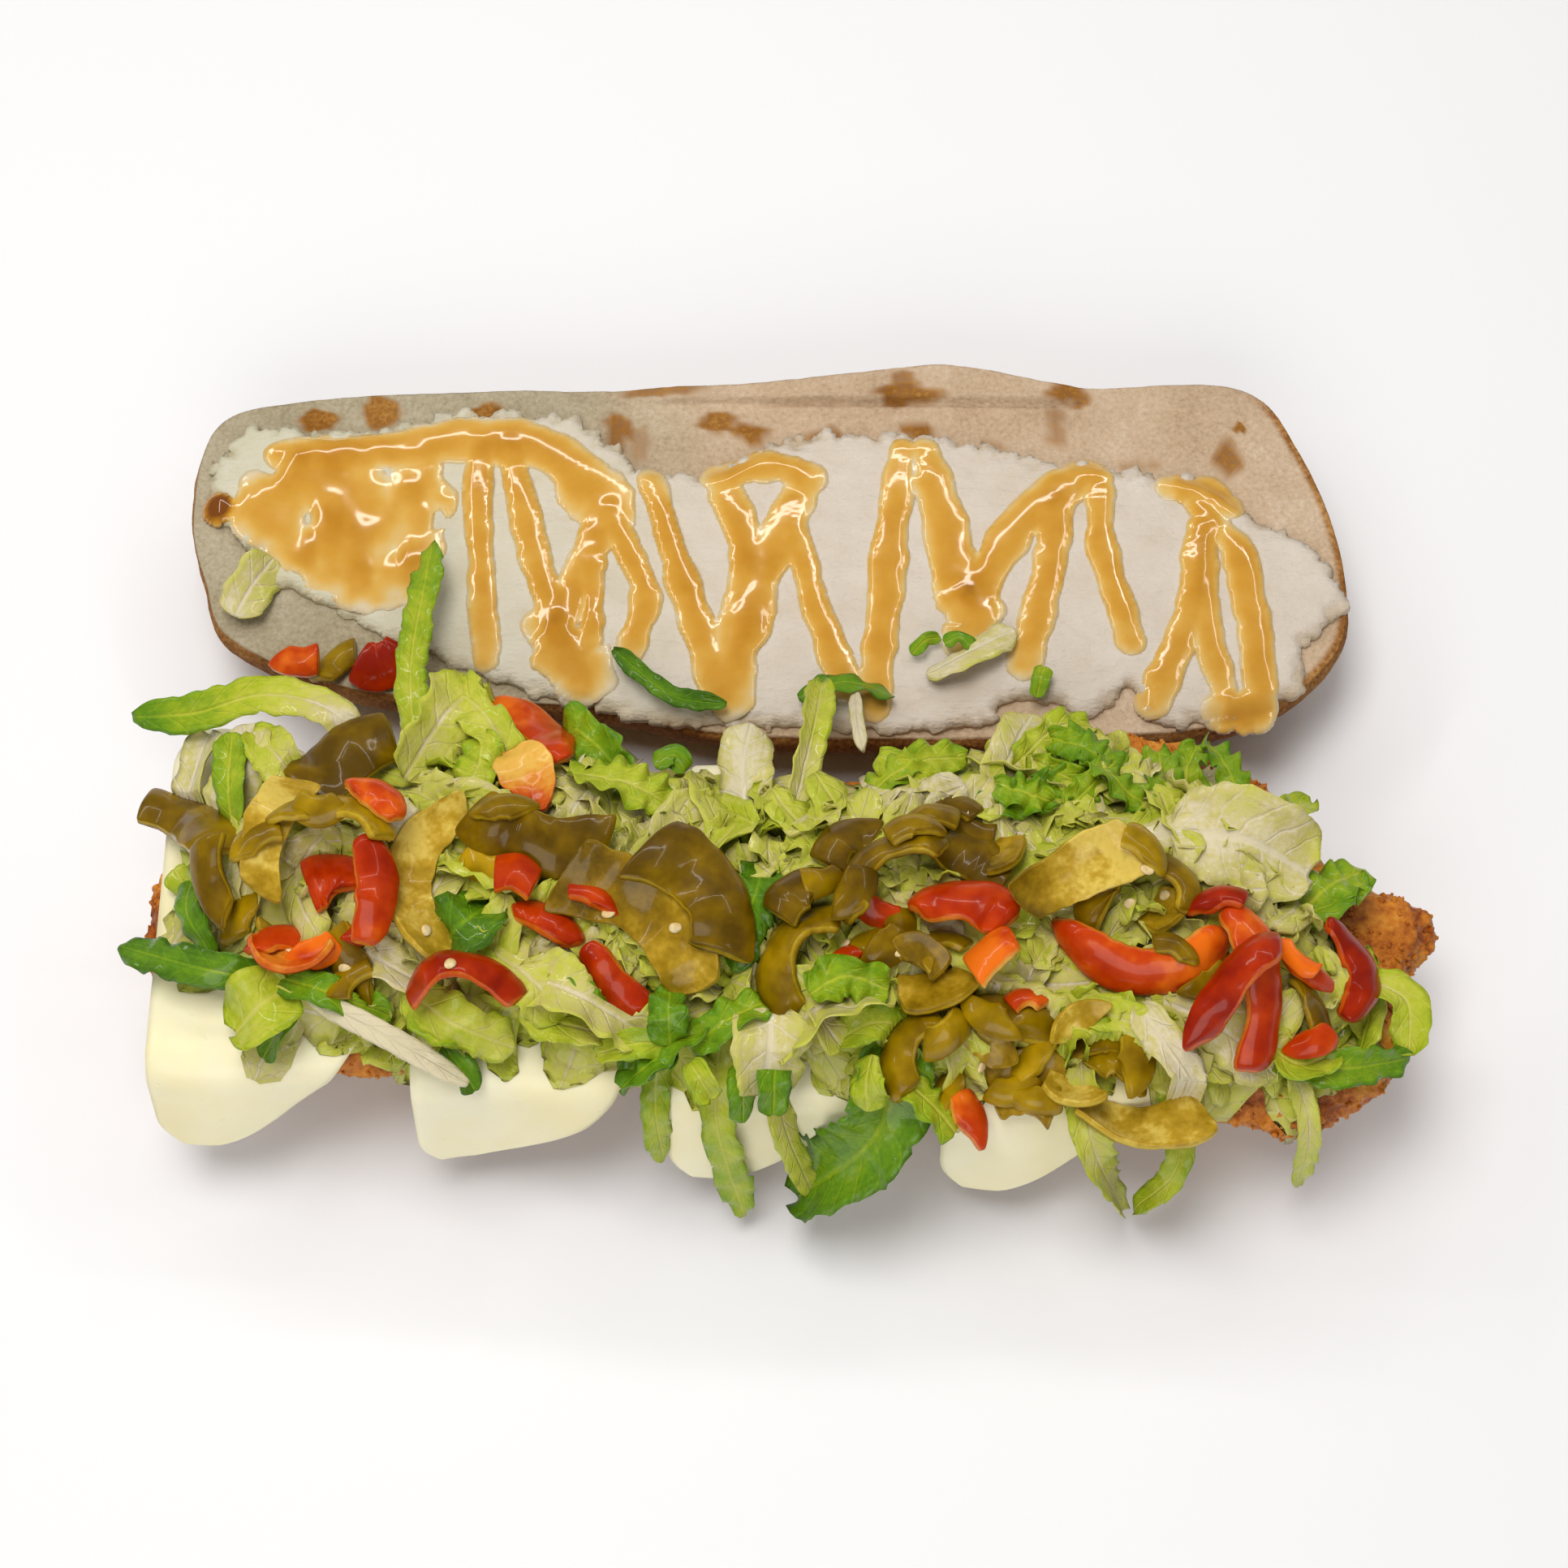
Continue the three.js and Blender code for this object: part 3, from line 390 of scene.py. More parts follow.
SPREAD_THICK = 2.2
SPREAD_CORNERS = [
    (-125, 68), (-118, 88), (-98, 86), (-72, 91), (-46, 89), (-30, 77), (-14, 76), (0, 84), (38, 86),
    (60, 79), (84, 76), (104, 64), (118, 54), (120, 43), (110, 33), (109, 23), (91, 17), (77, 16),
    (74, 25), (66, 18), (50, 21), (38, 15.5), (2, 14.5), (-30, 17), (-57, 24), (-85, 37), (-107, 49),
]
# Millimetres between the points of its skin.
SPREAD_PITCH = 0.8
# Fine cracks that the knife left, as two ends each.
CRACKS = [((-73, 72), (-11, 78)), ((100, 60), (117, 60)), ((52, 48), (66, 34)), ((-56, 60), (-44, 66))]
spread_rim = smooth_line(SPREAD_CORNERS, 150, closed=True)


def inside_by(points, rim):
    """How far each point lies inside a closed outline, negative outside it."""
    after = np.roll(rim, -1, 0)
    nearest = np.full(len(points), 1e9)
    crossings = np.zeros(len(points), int)
    for start, step in zip(rim, after - rim):
        off = points - start
        share = np.clip(off @ step / (step @ step), 0, 1)
        nearest = np.minimum(nearest, np.linalg.norm(off - share[:, None] * step, axis=1))
        if step[1] != 0:
            rise = (points[:, 1] - start[1]) / step[1]
            crossings += (rise >= 0) & (rise < 1) & (start[0] + rise * step[0] > points[:, 0])
    return np.where(crossings % 2 == 1, nearest, -nearest)


def blanket(name, xs, ys, field, top, base, values):
    """A closed body over the grid cells where the field is above zero, its edge on the zero line."""
    wide = len(xs)
    filled = field > 0
    cells = filled[:-1, :-1] & filled[1:, :-1] & filled[:-1, 1:] & filled[1:, 1:]
    row, column = np.nonzero(cells)
    corner = row * wide + column
    quads = np.stack([corner, corner + 1, corner + 1 + wide, corner + wide], 1)
    padded = np.pad(cells, 1)
    bands = []
    for down, right, pair in ((0, 1, (0, 1)), (1, 2, (1, 2)), (2, 1, (2, 3)), (1, 0, (3, 0))):
        bare = ~padded[row + down, column + right]
        bands.append(quads[bare][:, pair])
    edge = np.concatenate(bands)
    used = np.unique(quads)
    number = np.full(field.size, -1)
    number[used] = np.arange(len(used))
    pitch = xs[1] - xs[0]
    slope_y, slope_x = np.gradient(field, pitch)
    grid_x, grid_y = np.meshgrid(xs, ys)
    on_edge = np.zeros(field.size, bool)
    on_edge[edge.ravel()] = True
    steep = np.sqrt(slope_x ** 2 + slope_y ** 2 + 1e-6)
    reach = np.clip(field / steep, 0, pitch) * on_edge.reshape(field.shape)
    grid_x = grid_x - slope_x / steep * reach
    grid_y = grid_y - slope_y / steep * reach
    flat = np.column_stack([grid_x.ravel()[used], grid_y.ravel()[used]])
    upper_points = np.column_stack([flat, top.ravel()[used]])
    under_points = np.column_stack([flat, base.ravel()[used]])
    size = len(used)
    faces = number[quads]
    rim = number[edge]
    band = np.stack([rim[:, 0], rim[:, 0] + size, rim[:, 1] + size, rim[:, 1]], 1)
    all_faces = np.concatenate([faces, faces[:, ::-1] + size, band]).tolist()
    twice = {key: np.tile(value.ravel()[used], 2) for key, value in values.items()}
    return make_piece(name, np.concatenate([upper_points, under_points]), all_faces, twice)


def whipped_spread():
    """Whipped garlic spread: soft white, matt with a faint wet sheen, warm where it is thin."""
    material, tree, shader, here = start_material("whipped_spread", Roughness=0.55, IOR=1.4)
    shader.inputs["Subsurface Weight"].default_value = 0.15
    shader.inputs["Subsurface Radius"].default_value = (0.002, 0.0017, 0.0013)
    value = sum_of(tree, grain(tree, here, 9, 5.0), 0.6, sum_of(tree, kept(tree, "thick"), 0.62, -0.1))
    warm = shades(tree, value, [(0.25, "#b8a285"), (0.5, "#cabba6"), (0.75, "#d4c9bc"), (1.0, "#dbd3ca")])
    cool = shades(tree, value, [(0.25, "#b4a582"), (0.5, "#c5bea2"), (0.75, "#cfcbb4"), (1.0, "#d8d5c4")])
    x = add_node(tree, "ShaderNodeSeparateXYZ", None, {0: here}).outputs[0]
    to_right = add_node(tree, "ShaderNodeMapRange", None,
                        {"Value": x, "From Min": -0.1, "From Max": 0.0}).outputs[0]
    tree.links.new(mixed(tree, to_right, cool, warm), shader.inputs["Base Color"])
    pulled = add_node(tree, "ShaderNodeMapping", None,
                      {"Vector": here, "Rotation": (0, 0, 0.25), "Scale": (1.0, 3.0, 1.0)}).outputs[0]
    relief = sum_of(tree, grain(tree, here, 1.2, 4.0, 0.6), 0.35, grain(tree, pulled, 7, 5.0, 0.6))
    bumpy(tree, shader, relief, 1.5, 0.6)
    return material


def spread_margin(points):
    """How far inside the torn edge of the spread each place lies."""
    fine = 0.9 + 1.2 * ease(points[:, 1], 58, 74)
    torn = 2.2 * lumps(points, 6, 2, 2) + fine * lumps(points, 2.3, 3, 2)
    return inside_by(points, spread_rim) + torn


def spread_rise(points, margin):
    """How high the spread stands above the crumb, from how far inside its edge a place is."""
    pulled = points * (0.4, 1.0)
    relief = 0.3 * lumps(pulled, 4.0, 6, 3) + 0.3 * lumps(points, 14, 7) + 0.16 * lumps(points, 2.2, 8, 2)
    rise = ease(margin, -0.4, 3.0) ** 0.6 * SPREAD_THICK * (1 + 0.36 * relief)
    for start, end in CRACKS:
        line = smooth_line([start, end], 60)
        line[:, 1] += along_lumps(line[:, 0], 6, 9) * 1.2
        near = np.nonzero(np.abs(points[:, 0] - line[:, 0].mean()) < np.ptp(line[:, 0]) / 2 + 2)[0]
        far = np.linalg.norm(points[near, None] - line[None], axis=2).min(1)
        rise[near] -= 0.5 * np.exp(-(far / 0.55) ** 2)
    return np.maximum(rise, 0.05)


def white_spread():
    """The layer of spread, one closed body that follows the crumb under it."""
    xs = np.arange(-130, 125, SPREAD_PITCH)
    ys = np.arange(12, 95, SPREAD_PITCH)
    grid_x, grid_y = np.meshgrid(xs, ys)
    points = np.column_stack([grid_x.ravel(), grid_y.ravel()])
    margin = spread_margin(points)
    rise = spread_rise(points, margin)
    top = top_face(points[:, 1]) + 0.3 + rise
    base = top_face(points[:, 1]) - 0.5
    shape = grid_x.shape
    piece = blanket("whipped_white_spread", xs, ys, margin.reshape(shape), top.reshape(shape),
                    base.reshape(shape), {"thick": np.clip(rise / SPREAD_THICK, 0, 1).reshape(shape)})
    piece.data.materials.append(whipped_spread())
    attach(piece, "root")
    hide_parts("spread")
    return piece


spread = white_spread()

# ---- Golden sauce --------------------------------------------------------------------------
# A sweet golden sauce squeezed over the spread in long strokes from a bottle. It is clear and
# glossy, deep amber where it is thick, and ran together in a pool at the left end.

# How high a full stroke stands, and millimetres between the points of the sauce's skin.
SAUCE_RISE = 1.15
SAUCE_PITCH = 0.62
# Places worked out along each stroke.
STROKE_STEPS = 50
# Each stroke is its widths at both ends and the places it runs through.
SAUCE_STROKES = [
    (7, 12, (-110, 80), (-88, 81), (-66, 84), (-50, 80), (-39, 67)), (5, 5, (-67, 84), (-66, 62), (-63, 30)),
    (5.5, 6, (-60, 82), (-54, 56), (-43, 24)), (6.5, 6.5, (-39, 66), (-45, 46), (-50, 34)),
    (5, 5, (-38, 66), (-30, 46), (-33, 31)), (4.4, 4, (-41, 56), (-41, 34)),
    (7, 13, (-52, 38), (-46, 31), (-43, 28)), (5, 6.5, (-29, 74), (-22, 50), (-14, 23)),
    (6.5, 10, (-13, 74), (-8, 52), (-12, 22)), (6.5, 6, (-14, 75), (-2, 77), (6, 74)),
    (7.5, 6.5, (4, 72), (-3, 52), (-11, 26)), (5, 6, (2, 68), (5, 50), (13, 24)),
    (6.5, 6, (26, 81), (23, 58), (19, 20)), (6.5, 10, (31, 81), (36, 58), (41, 42)),
    (9, 8, (36, 48), (40, 40), (38, 34)), (7, 8, (40, 44), (51, 63), (66, 76)),
    (6.5, 6, (60, 72), (57, 52), (51, 29)), (5, 6, (69, 74), (69, 56), (74, 35)),
    (6.5, 5, (78, 20), (86, 40), (90, 62)), (5, 5.5, (88, 70), (92, 64), (91, 60), (90, 40), (93, 22)),
    (6, 7, (94, 62), (99, 52), (101, 20)), (7, 8, (92, 19), (100, 18)), (6, 6, (84, 72), (92, 72), (96, 68)),
]
POOL_CORNERS = [(-119, 64), (-112, 79), (-94, 83), (-77, 81), (-74, 62), (-77, 47), (-90, 43), (-105, 50)]
# A drop that dried dark at the left end: x, y and reach.
DARK_DROP = (-123, 67, 3.6)
# Where the sauce stands thick and looks deeper: x, y, reach and how much.
DEEP_SPOTS = [
    (-42, 71, 9, 0.22), (-88, 78, 14, 0.14), (-8, 58, 8, 0.12), (39, 48, 8, 0.16), (97, 21, 7, 0.16),
    (-63, 83, 8, 0.12), (-104, 58, 9, 0.1),
]


def golden_sauce():
    """Sweet mustard sauce: a clear glossy syrup, pale where it is thin and amber where it is deep."""
    material, tree, shader, here = start_material("golden_sauce", Roughness=0.14, IOR=1.45)
    shader.inputs["Coat Weight"].default_value = 0.8
    shader.inputs["Coat Roughness"].default_value = 0.04
    shader.inputs["Subsurface Weight"].default_value = 0.25
    shader.inputs["Subsurface Radius"].default_value = (0.003, 0.0016, 0.0004)
    shift = sum_of(tree, grain(tree, here, 7, 4.0), 0.5, -0.26)
    depth = sum_of(tree, kept(tree, "deep"), 0.6, shift, clamp=True)
    colour = shades(tree, depth, [(0.0, "#dccdae"), (0.14, "#dfc07c"), (0.3, "#dcae52"), (0.48, "#d29c38"),
                                  (0.72, "#bf841a"), (1.0, "#7c4408")])
    tree.links.new(colour, shader.inputs["Base Color"])
    return material


def sauce():
    """All strokes, the pool and the dark drop, one closed body on top of the spread."""
    xs = np.arange(-129, 112, SAUCE_PITCH)
    ys = np.arange(14, 92, SAUCE_PITCH)
    grid_x, grid_y = np.meshgrid(xs, ys)
    points = np.column_stack([grid_x.ravel(), grid_y.ravel()])
    total = np.zeros(len(points))
    uneven = lumps(points, 7, 31, 2)
    for number, (first, last, *way) in enumerate(SAUCE_STROKES):
        line = smooth_line(way, STROKE_STEPS)
        uneven_width = 1 + 0.25 * along_lumps(np.arange(float(STROKE_STEPS)), 9, number, 2)
        wide = np.linspace(first, last, STROKE_STEPS) * uneven_width
        low, high = line.min(0) - 12, line.max(0) + 12
        near = np.nonzero(((points > low) & (points < high)).all(1))[0]
        far = np.linalg.norm(points[near, None] - line[None], axis=2)
        share = far.min(1) / (wide[far.argmin(1)] * 0.62 * (1 + 0.2 * uneven[near]))
        step = far.argmin(1)
        full = (0.35 + 0.65 * ease(step, 0, 9)) * (1 - 0.55 * ease(step, 38, 49))
        total[near] += np.clip(1 - share ** 2, 0, 1) ** 1.6 * full
    pool = inside_by(points, smooth_line(POOL_CORNERS, 60, closed=True)) + 3.0 * lumps(points, 8, 33, 2)
    flows = lumps(points * (1.0, 0.55), 8, 34, 2)
    total += ease(pool, -2, 5) * np.clip(0.72 + 1.1 * flows, 0, 1.4)
    total *= 1 + 0.5 * lumps(points, 15, 35)
    drop = np.hypot(points[:, 0] - DARK_DROP[0], points[:, 1] - DARK_DROP[1]) / DARK_DROP[2]
    total = np.maximum(total, 1.6 * np.clip(1 - drop ** 2, 0, 1))
    rise = SAUCE_RISE * np.sqrt(np.minimum(total, 1.9))
    thick = rise / SAUCE_RISE
    deep = 0.72 * ease(thick, 0, 0.9) + 0.13 * thick ** 4 + 0.12 * lumps(points, 11, 36, 2)
    for x, y, reach, dark in DEEP_SPOTS:
        deep += dark * thick * np.exp(-((points[:, 0] - x) ** 2 + (points[:, 1] - y) ** 2) / reach ** 2)
    deep += 1.3 * np.clip(1.3 - drop, 0, 1)
    swell = ease(inside_by(points, spread_rim), -1.5, 3.5) ** 0.6 * SPREAD_THICK
    swell *= 1 + 0.1 * lumps(points, 14, 7)
    under = top_face(points[:, 1]) + 0.36 + swell
    shape = grid_x.shape
    piece = blanket("golden_sauce", xs, ys, (rise - 0.1).reshape(shape), (under + rise - 0.1).reshape(shape),
                    (under - 0.6).reshape(shape), {"deep": deep.reshape(shape)})
    piece.data.materials.append(golden_sauce())
    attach(piece, "root")
    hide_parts("spread")
    return piece


sauce_piece = sauce()

# ---- Breaded cutlets -----------------------------------------------------------------------
# Two pounded chicken breasts, breaded and deep fried, laid end to end. The breading stands in
# crags and flakes, dark where it caught, with painted shade that darkens the hollows and painted
# light on the crags, and loose crumbs stuck on.

# Height of the bed that the cutlets make for the cheese.
BED = 36
# Metres between the points of the breading's even skin.
SKIN_VOXEL = 0.001
# The breading's relief: millimetres from one to the next, and how far each stands out.
CRAGS, FLAKES, GRIT = (9, 1.2), (4.2, 2.0), (1.7, 0.4)
CRUMBS_PER_SQUARE_METRE = 8.2e4
CRUMB_RADIUS = 0.0005


def cad_copy(node, name):
    """A copy of a solid's mesh with its shared corners joined."""
    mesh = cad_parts[node].data.copy()
    work = bmesh.new()
    work.from_mesh(mesh)
    bmesh.ops.remove_doubles(work, verts=work.verts, dist=1e-6)
    work.to_mesh(mesh)
    work.free()
    mesh.materials.clear()
    piece = bpy.data.objects.new(name, mesh)
    bpy.context.scene.collection.objects.link(piece)
    return piece


def settle_modifiers(piece):
    """Turns what a piece's modifiers make into its plain mesh."""
    graph = bpy.context.evaluated_depsgraph_get()
    mesh = bpy.data.meshes.new_from_object(piece.evaluated_get(graph))
    piece.modifiers.clear()
    piece.data = mesh
    mesh.polygons.foreach_set("use_smooth", [True] * len(mesh.polygons))


def scatter_tree():
    """Strews the shapes of a collection over a surface, each with its own turn, size and tone."""
    tree = bpy.data.node_groups.new("strewn_pieces", "GeometryNodeTree")
    sockets = [
        ("Surface", "INPUT", "NodeSocketGeometry"), ("Shapes", "INPUT", "NodeSocketCollection"),
        ("Per square metre", "INPUT", "NodeSocketFloat"), ("Least scale", "INPUT", "NodeSocketFloat"),
        ("Most scale", "INPUT", "NodeSocketFloat"), ("Lean", "INPUT", "NodeSocketFloat"),
        ("Lift", "INPUT", "NodeSocketFloat"), ("Seed", "INPUT", "NodeSocketInt"),
        ("Finish", "INPUT", "NodeSocketMaterial"), ("Pieces", "OUTPUT", "NodeSocketGeometry"),
    ]
    for name, way, kind in sockets:
        tree.interface.new_socket(name=name, in_out=way, socket_type=kind)
    given = add_node(tree, "NodeGroupInput").outputs
    strewn = add_node(tree, "GeometryNodeDistributePointsOnFaces", {"distribute_method": "RANDOM"},
                      {"Mesh": given["Surface"], "Density": given["Per square metre"], "Seed": given["Seed"]})
    normal = add_node(tree, "ShaderNodeVectorMath", {"operation": "SCALE"},
                      {0: strewn.outputs["Normal"], "Scale": given["Lift"]})
    lifted = add_node(tree, "GeometryNodeSetPosition", None,
                      {"Geometry": strewn.outputs["Points"], "Offset": normal.outputs[0]})
    down = add_node(tree, "ShaderNodeMath", {"operation": "MULTIPLY"}, {0: given["Lean"], 1: -1.0})
    most = add_node(tree, "ShaderNodeCombineXYZ", None, {0: given["Lean"], 1: given["Lean"], 2: math.pi})
    least = add_node(tree, "ShaderNodeCombineXYZ", None,
                     {0: down.outputs[0], 1: down.outputs[0], 2: -math.pi})
    turn = add_node(tree, "FunctionNodeRandomValue", {"data_type": "FLOAT_VECTOR"},
                    {0: least.outputs[0], 1: most.outputs[0], "Seed": given["Seed"]})
    turned = add_node(tree, "FunctionNodeRotateRotation", {"rotation_space": "LOCAL"},
                      {"Rotation": strewn.outputs["Rotation"], "Rotate By": turn.outputs[0]})
    size = add_node(tree, "FunctionNodeRandomValue", {"data_type": "FLOAT"},
                    {2: given["Least scale"], 3: given["Most scale"], "Seed": given["Seed"]})
    shapes = add_node(tree, "GeometryNodeCollectionInfo", None,
                      {"Collection": given["Shapes"], "Separate Children": True, "Reset Children": True})
    laid = add_node(tree, "GeometryNodeInstanceOnPoints", None,
                    {"Points": lifted.outputs[0], "Instance": shapes.outputs[0], "Pick Instance": True,
                     "Rotation": turned.outputs[0], "Scale": size.outputs[1]})
    other = add_node(tree, "ShaderNodeMath", {"operation": "ADD"}, {0: given["Seed"], 1: 11.0})
    tone = add_node(tree, "FunctionNodeRandomValue", {"data_type": "FLOAT"}, {"Seed": other.outputs[0]})
    toned = add_node(tree, "GeometryNodeStoreNamedAttribute", {"data_type": "FLOAT", "domain": "INSTANCE"},
                     {"Geometry": laid.outputs[0], "Name": "own_tone", "Value": tone.outputs[1]})
    plain = add_node(tree, "GeometryNodeRealizeInstances", None, {0: toned.outputs[0]})
    finished = add_node(tree, "GeometryNodeSetMaterial", None,
                        {"Geometry": plain.outputs[0], "Material": given["Finish"]})
    add_node(tree, "NodeGroupOutput", None, {0: finished.outputs[0]})
    return tree


STREWN = scatter_tree()


def strew(name, surface, shapes, **inputs):
    """A new plain piece of shapes strewn over a surface piece; the shapes themselves are removed."""
    kind = bpy.data.collections.new(name + "_shapes")
    for shape in shapes:
        bpy.context.scene.collection.objects.unlink(shape)
        kind.objects.link(shape)
    piece = bpy.data.objects.new(name, surface.data.copy())
    bpy.context.scene.collection.objects.link(piece)
    strewing = piece.modifiers.new("strewn", "NODES")
    strewing.node_group = STREWN
    named = {item.name: item.identifier for item in STREWN.interface.items_tree}
    for key, value in {"Shapes": kind, **inputs}.items():
        strewing[named[key.replace("_", " ")]] = value
    settle_modifiers(piece)
    for shape in shapes:
        bpy.data.objects.remove(shape)
    bpy.data.collections.remove(kind)
    return piece


def fried_breading():
    """Deep-fried breadcrumb coat: dry and rough, red-brown and golden in patches, darker in the hollows by
    painted shade and lighter on the crags by painted light.
    """
    material, tree, shader, here = start_material("fried_breading", Roughness=0.5, IOR=1.45)
    shader.inputs["Subsurface Weight"].default_value = 0.08
    shader.inputs["Subsurface Radius"].default_value = (0.003, 0.0012, 0.0005)
    crumb = grain(tree, here, 1.8, 4.0, 0.65)
    value = sum_of(tree, crumb, 0.5, sum_of(tree, grain(tree, here, 12, 3.0), 0.5, 0.0))
    # Painted shade and light: the relief's height darkens the hollows and lightens the crags.
    value = sum_of(tree, kept(tree, "crag"), 0.12, value)
    colour = shades(tree, value, [(0.3, "#682e08"), (0.44, "#a25214"), (0.56, "#cc7c24"), (0.7, "#e09e3e"),
                                  (0.84, "#eab864")])
    tree.links.new(colour, shader.inputs["Base Color"])
    cells = add_node(tree, "ShaderNodeTexVoronoi", None, {"Vector": here, "Scale": 1000 / 1.1})
    bumpy(tree, shader, sum_of(tree, cells.outputs[0], -0.4, crumb), 0.8, 0.8)
    return material


breading = fried_breading()


def crumb_shapes(name, count, seed):
    """A few uneven crumbs about one millimetre across."""
    random = np.random.default_rng(seed)
    shapes = []
    for index in range(count):
        work = bmesh.new()
        bmesh.ops.create_icosphere(work, subdivisions=1, radius=CRUMB_RADIUS)
        for corner in work.verts:
            corner.co *= random.uniform(0.7, 1.35)
            corner.co.z *= 0.7
        mesh = bpy.data.meshes.new(f"{name}_{index}")
        work.to_mesh(mesh)
        work.free()
        shape = bpy.data.objects.new(f"{name}_{index}", mesh)
        bpy.context.scene.collection.objects.link(shape)
        shapes.append(shape)
    return shapes


def breaded_cutlet(node, name, seed):
    """A cutlet over its solid's own form, with raised breading and crumbs strewn over it."""
    piece = cad_copy(node, name)
    remesh = piece.modifiers.new("even_skin", "REMESH")
    remesh.mode = "VOXEL"
    remesh.voxel_size = SKIN_VOXEL
    even = piece.modifiers.new("soften", "SMOOTH")
    even.iterations = 10
    settle_modifiers(piece)
    points = places_of(piece)
    crags = lumps(points, CRAGS[0], seed, 2)
    flakes = np.abs(lumps(points, FLAKES[0], seed + 1, 3))
    grit = lumps(points, GRIT[0], seed + 2, 2)
    under_load = 1 - ease(points[:, 2], BED - 1.6, BED - 0.4) * 0.8
    relief = CRAGS[1] * crags + FLAKES[1] * (flakes - 0.25) + GRIT[1] * grit
    push_out(piece, relief * under_load - 0.5)
    # The relief's height, kept for the breading's painted shade in the hollows and painted light on the
    # crags.
    keep_value(piece.data, "crag", crags + flakes)
    piece.data.materials.append(breading)
    crumbs = strew(name + "_crumbs", piece, crumb_shapes(name + "_crumb", 6, seed),
                   Per_square_metre=CRUMBS_PER_SQUARE_METRE, Least_scale=0.6, Most_scale=1.9, Lean=1.5,
                   Lift=0.0001, Seed=9 + seed, Finish=breading)
    for part in (piece, crumbs):
        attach(part, "root")
        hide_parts(node)
    return piece


cutlets = [
    breaded_cutlet("cutlet_left", "left_cutlet", 3),
    breaded_cutlet("cutlet_right", "right_cutlet", 5),
]

# ---- Half slices of cheese -----------------------------------------------------------------
# Round slices of a pale mild cheese cut in half, laid in a row over the cutlets. They are
# soft, so their front corners bend over the edge and droop.

CHEESE_RADIUS = 48
CHEESE_THICK = 1.8
CHEESE_BED = BED + 0.4
CHEESE_ROUNDING = 9
DROOP_RADIUS = 6
DROOP_SLOPE = 1.28
# Each slice: left end, front edge of the cutlet, hanging length, turn and wave.
SLICES = [
    (-125, -60, 27, 0.1, 1.6), (-73, -63, 30, 0.06, -1.4), (-23, -65.5, 29, 0.02, 1.2),
    (31, -67, 30, 0.02, 1.8),
]


def sheet_faces(rows, columns):
    """Faces of a closed thin body: an upper grid, an under grid and the band round their edge."""
    size = rows * columns
    index = np.arange(size).reshape(rows, columns)
    upper_side = np.stack([index[:-1, :-1], index[:-1, 1:], index[1:, 1:], index[1:, :-1]], -1).reshape(-1, 4)
    edge = np.concatenate([index[0, :-1], index[:-1, -1], index[-1, :0:-1], index[:0:-1, 0]])
    after = np.roll(edge, -1)
    band = np.stack([edge, edge + size, after + size, after], 1)
    return np.concatenate([upper_side, upper_side[:, ::-1] + size, band])


def soft_cheese():
    """Mild processed cheese: smooth, pale cream, slightly waxy, with a few pinholes."""
    material, tree, shader, here = start_material("soft_cheese", Roughness=0.38, IOR=1.45)
    shader.inputs["Subsurface Weight"].default_value = 0.25
    shader.inputs["Subsurface Radius"].default_value = (0.004, 0.003, 0.0015)
    colour = shades(tree, grain(tree, here, 22), [(0.3, "#f6ecbc"), (0.5, "#faf2cc"), (0.7, "#fdf7da")])
    tree.links.new(colour, shader.inputs["Base Color"])
    holes = add_node(tree, "ShaderNodeTexVoronoi", None, {"Vector": here, "Scale": 1000 / 5})
    pin = add_node(tree, "ShaderNodeMapRange", None,
                   {"Value": holes.outputs[0], "From Min": 0.06, "From Max": 0.14}).outputs[0]
    bumpy(tree, shader, sum_of(tree, grain(tree, here, 1.5, 2.0), 0.25, pin), 0.3, 0.3)
    return material


cheese = soft_cheese()


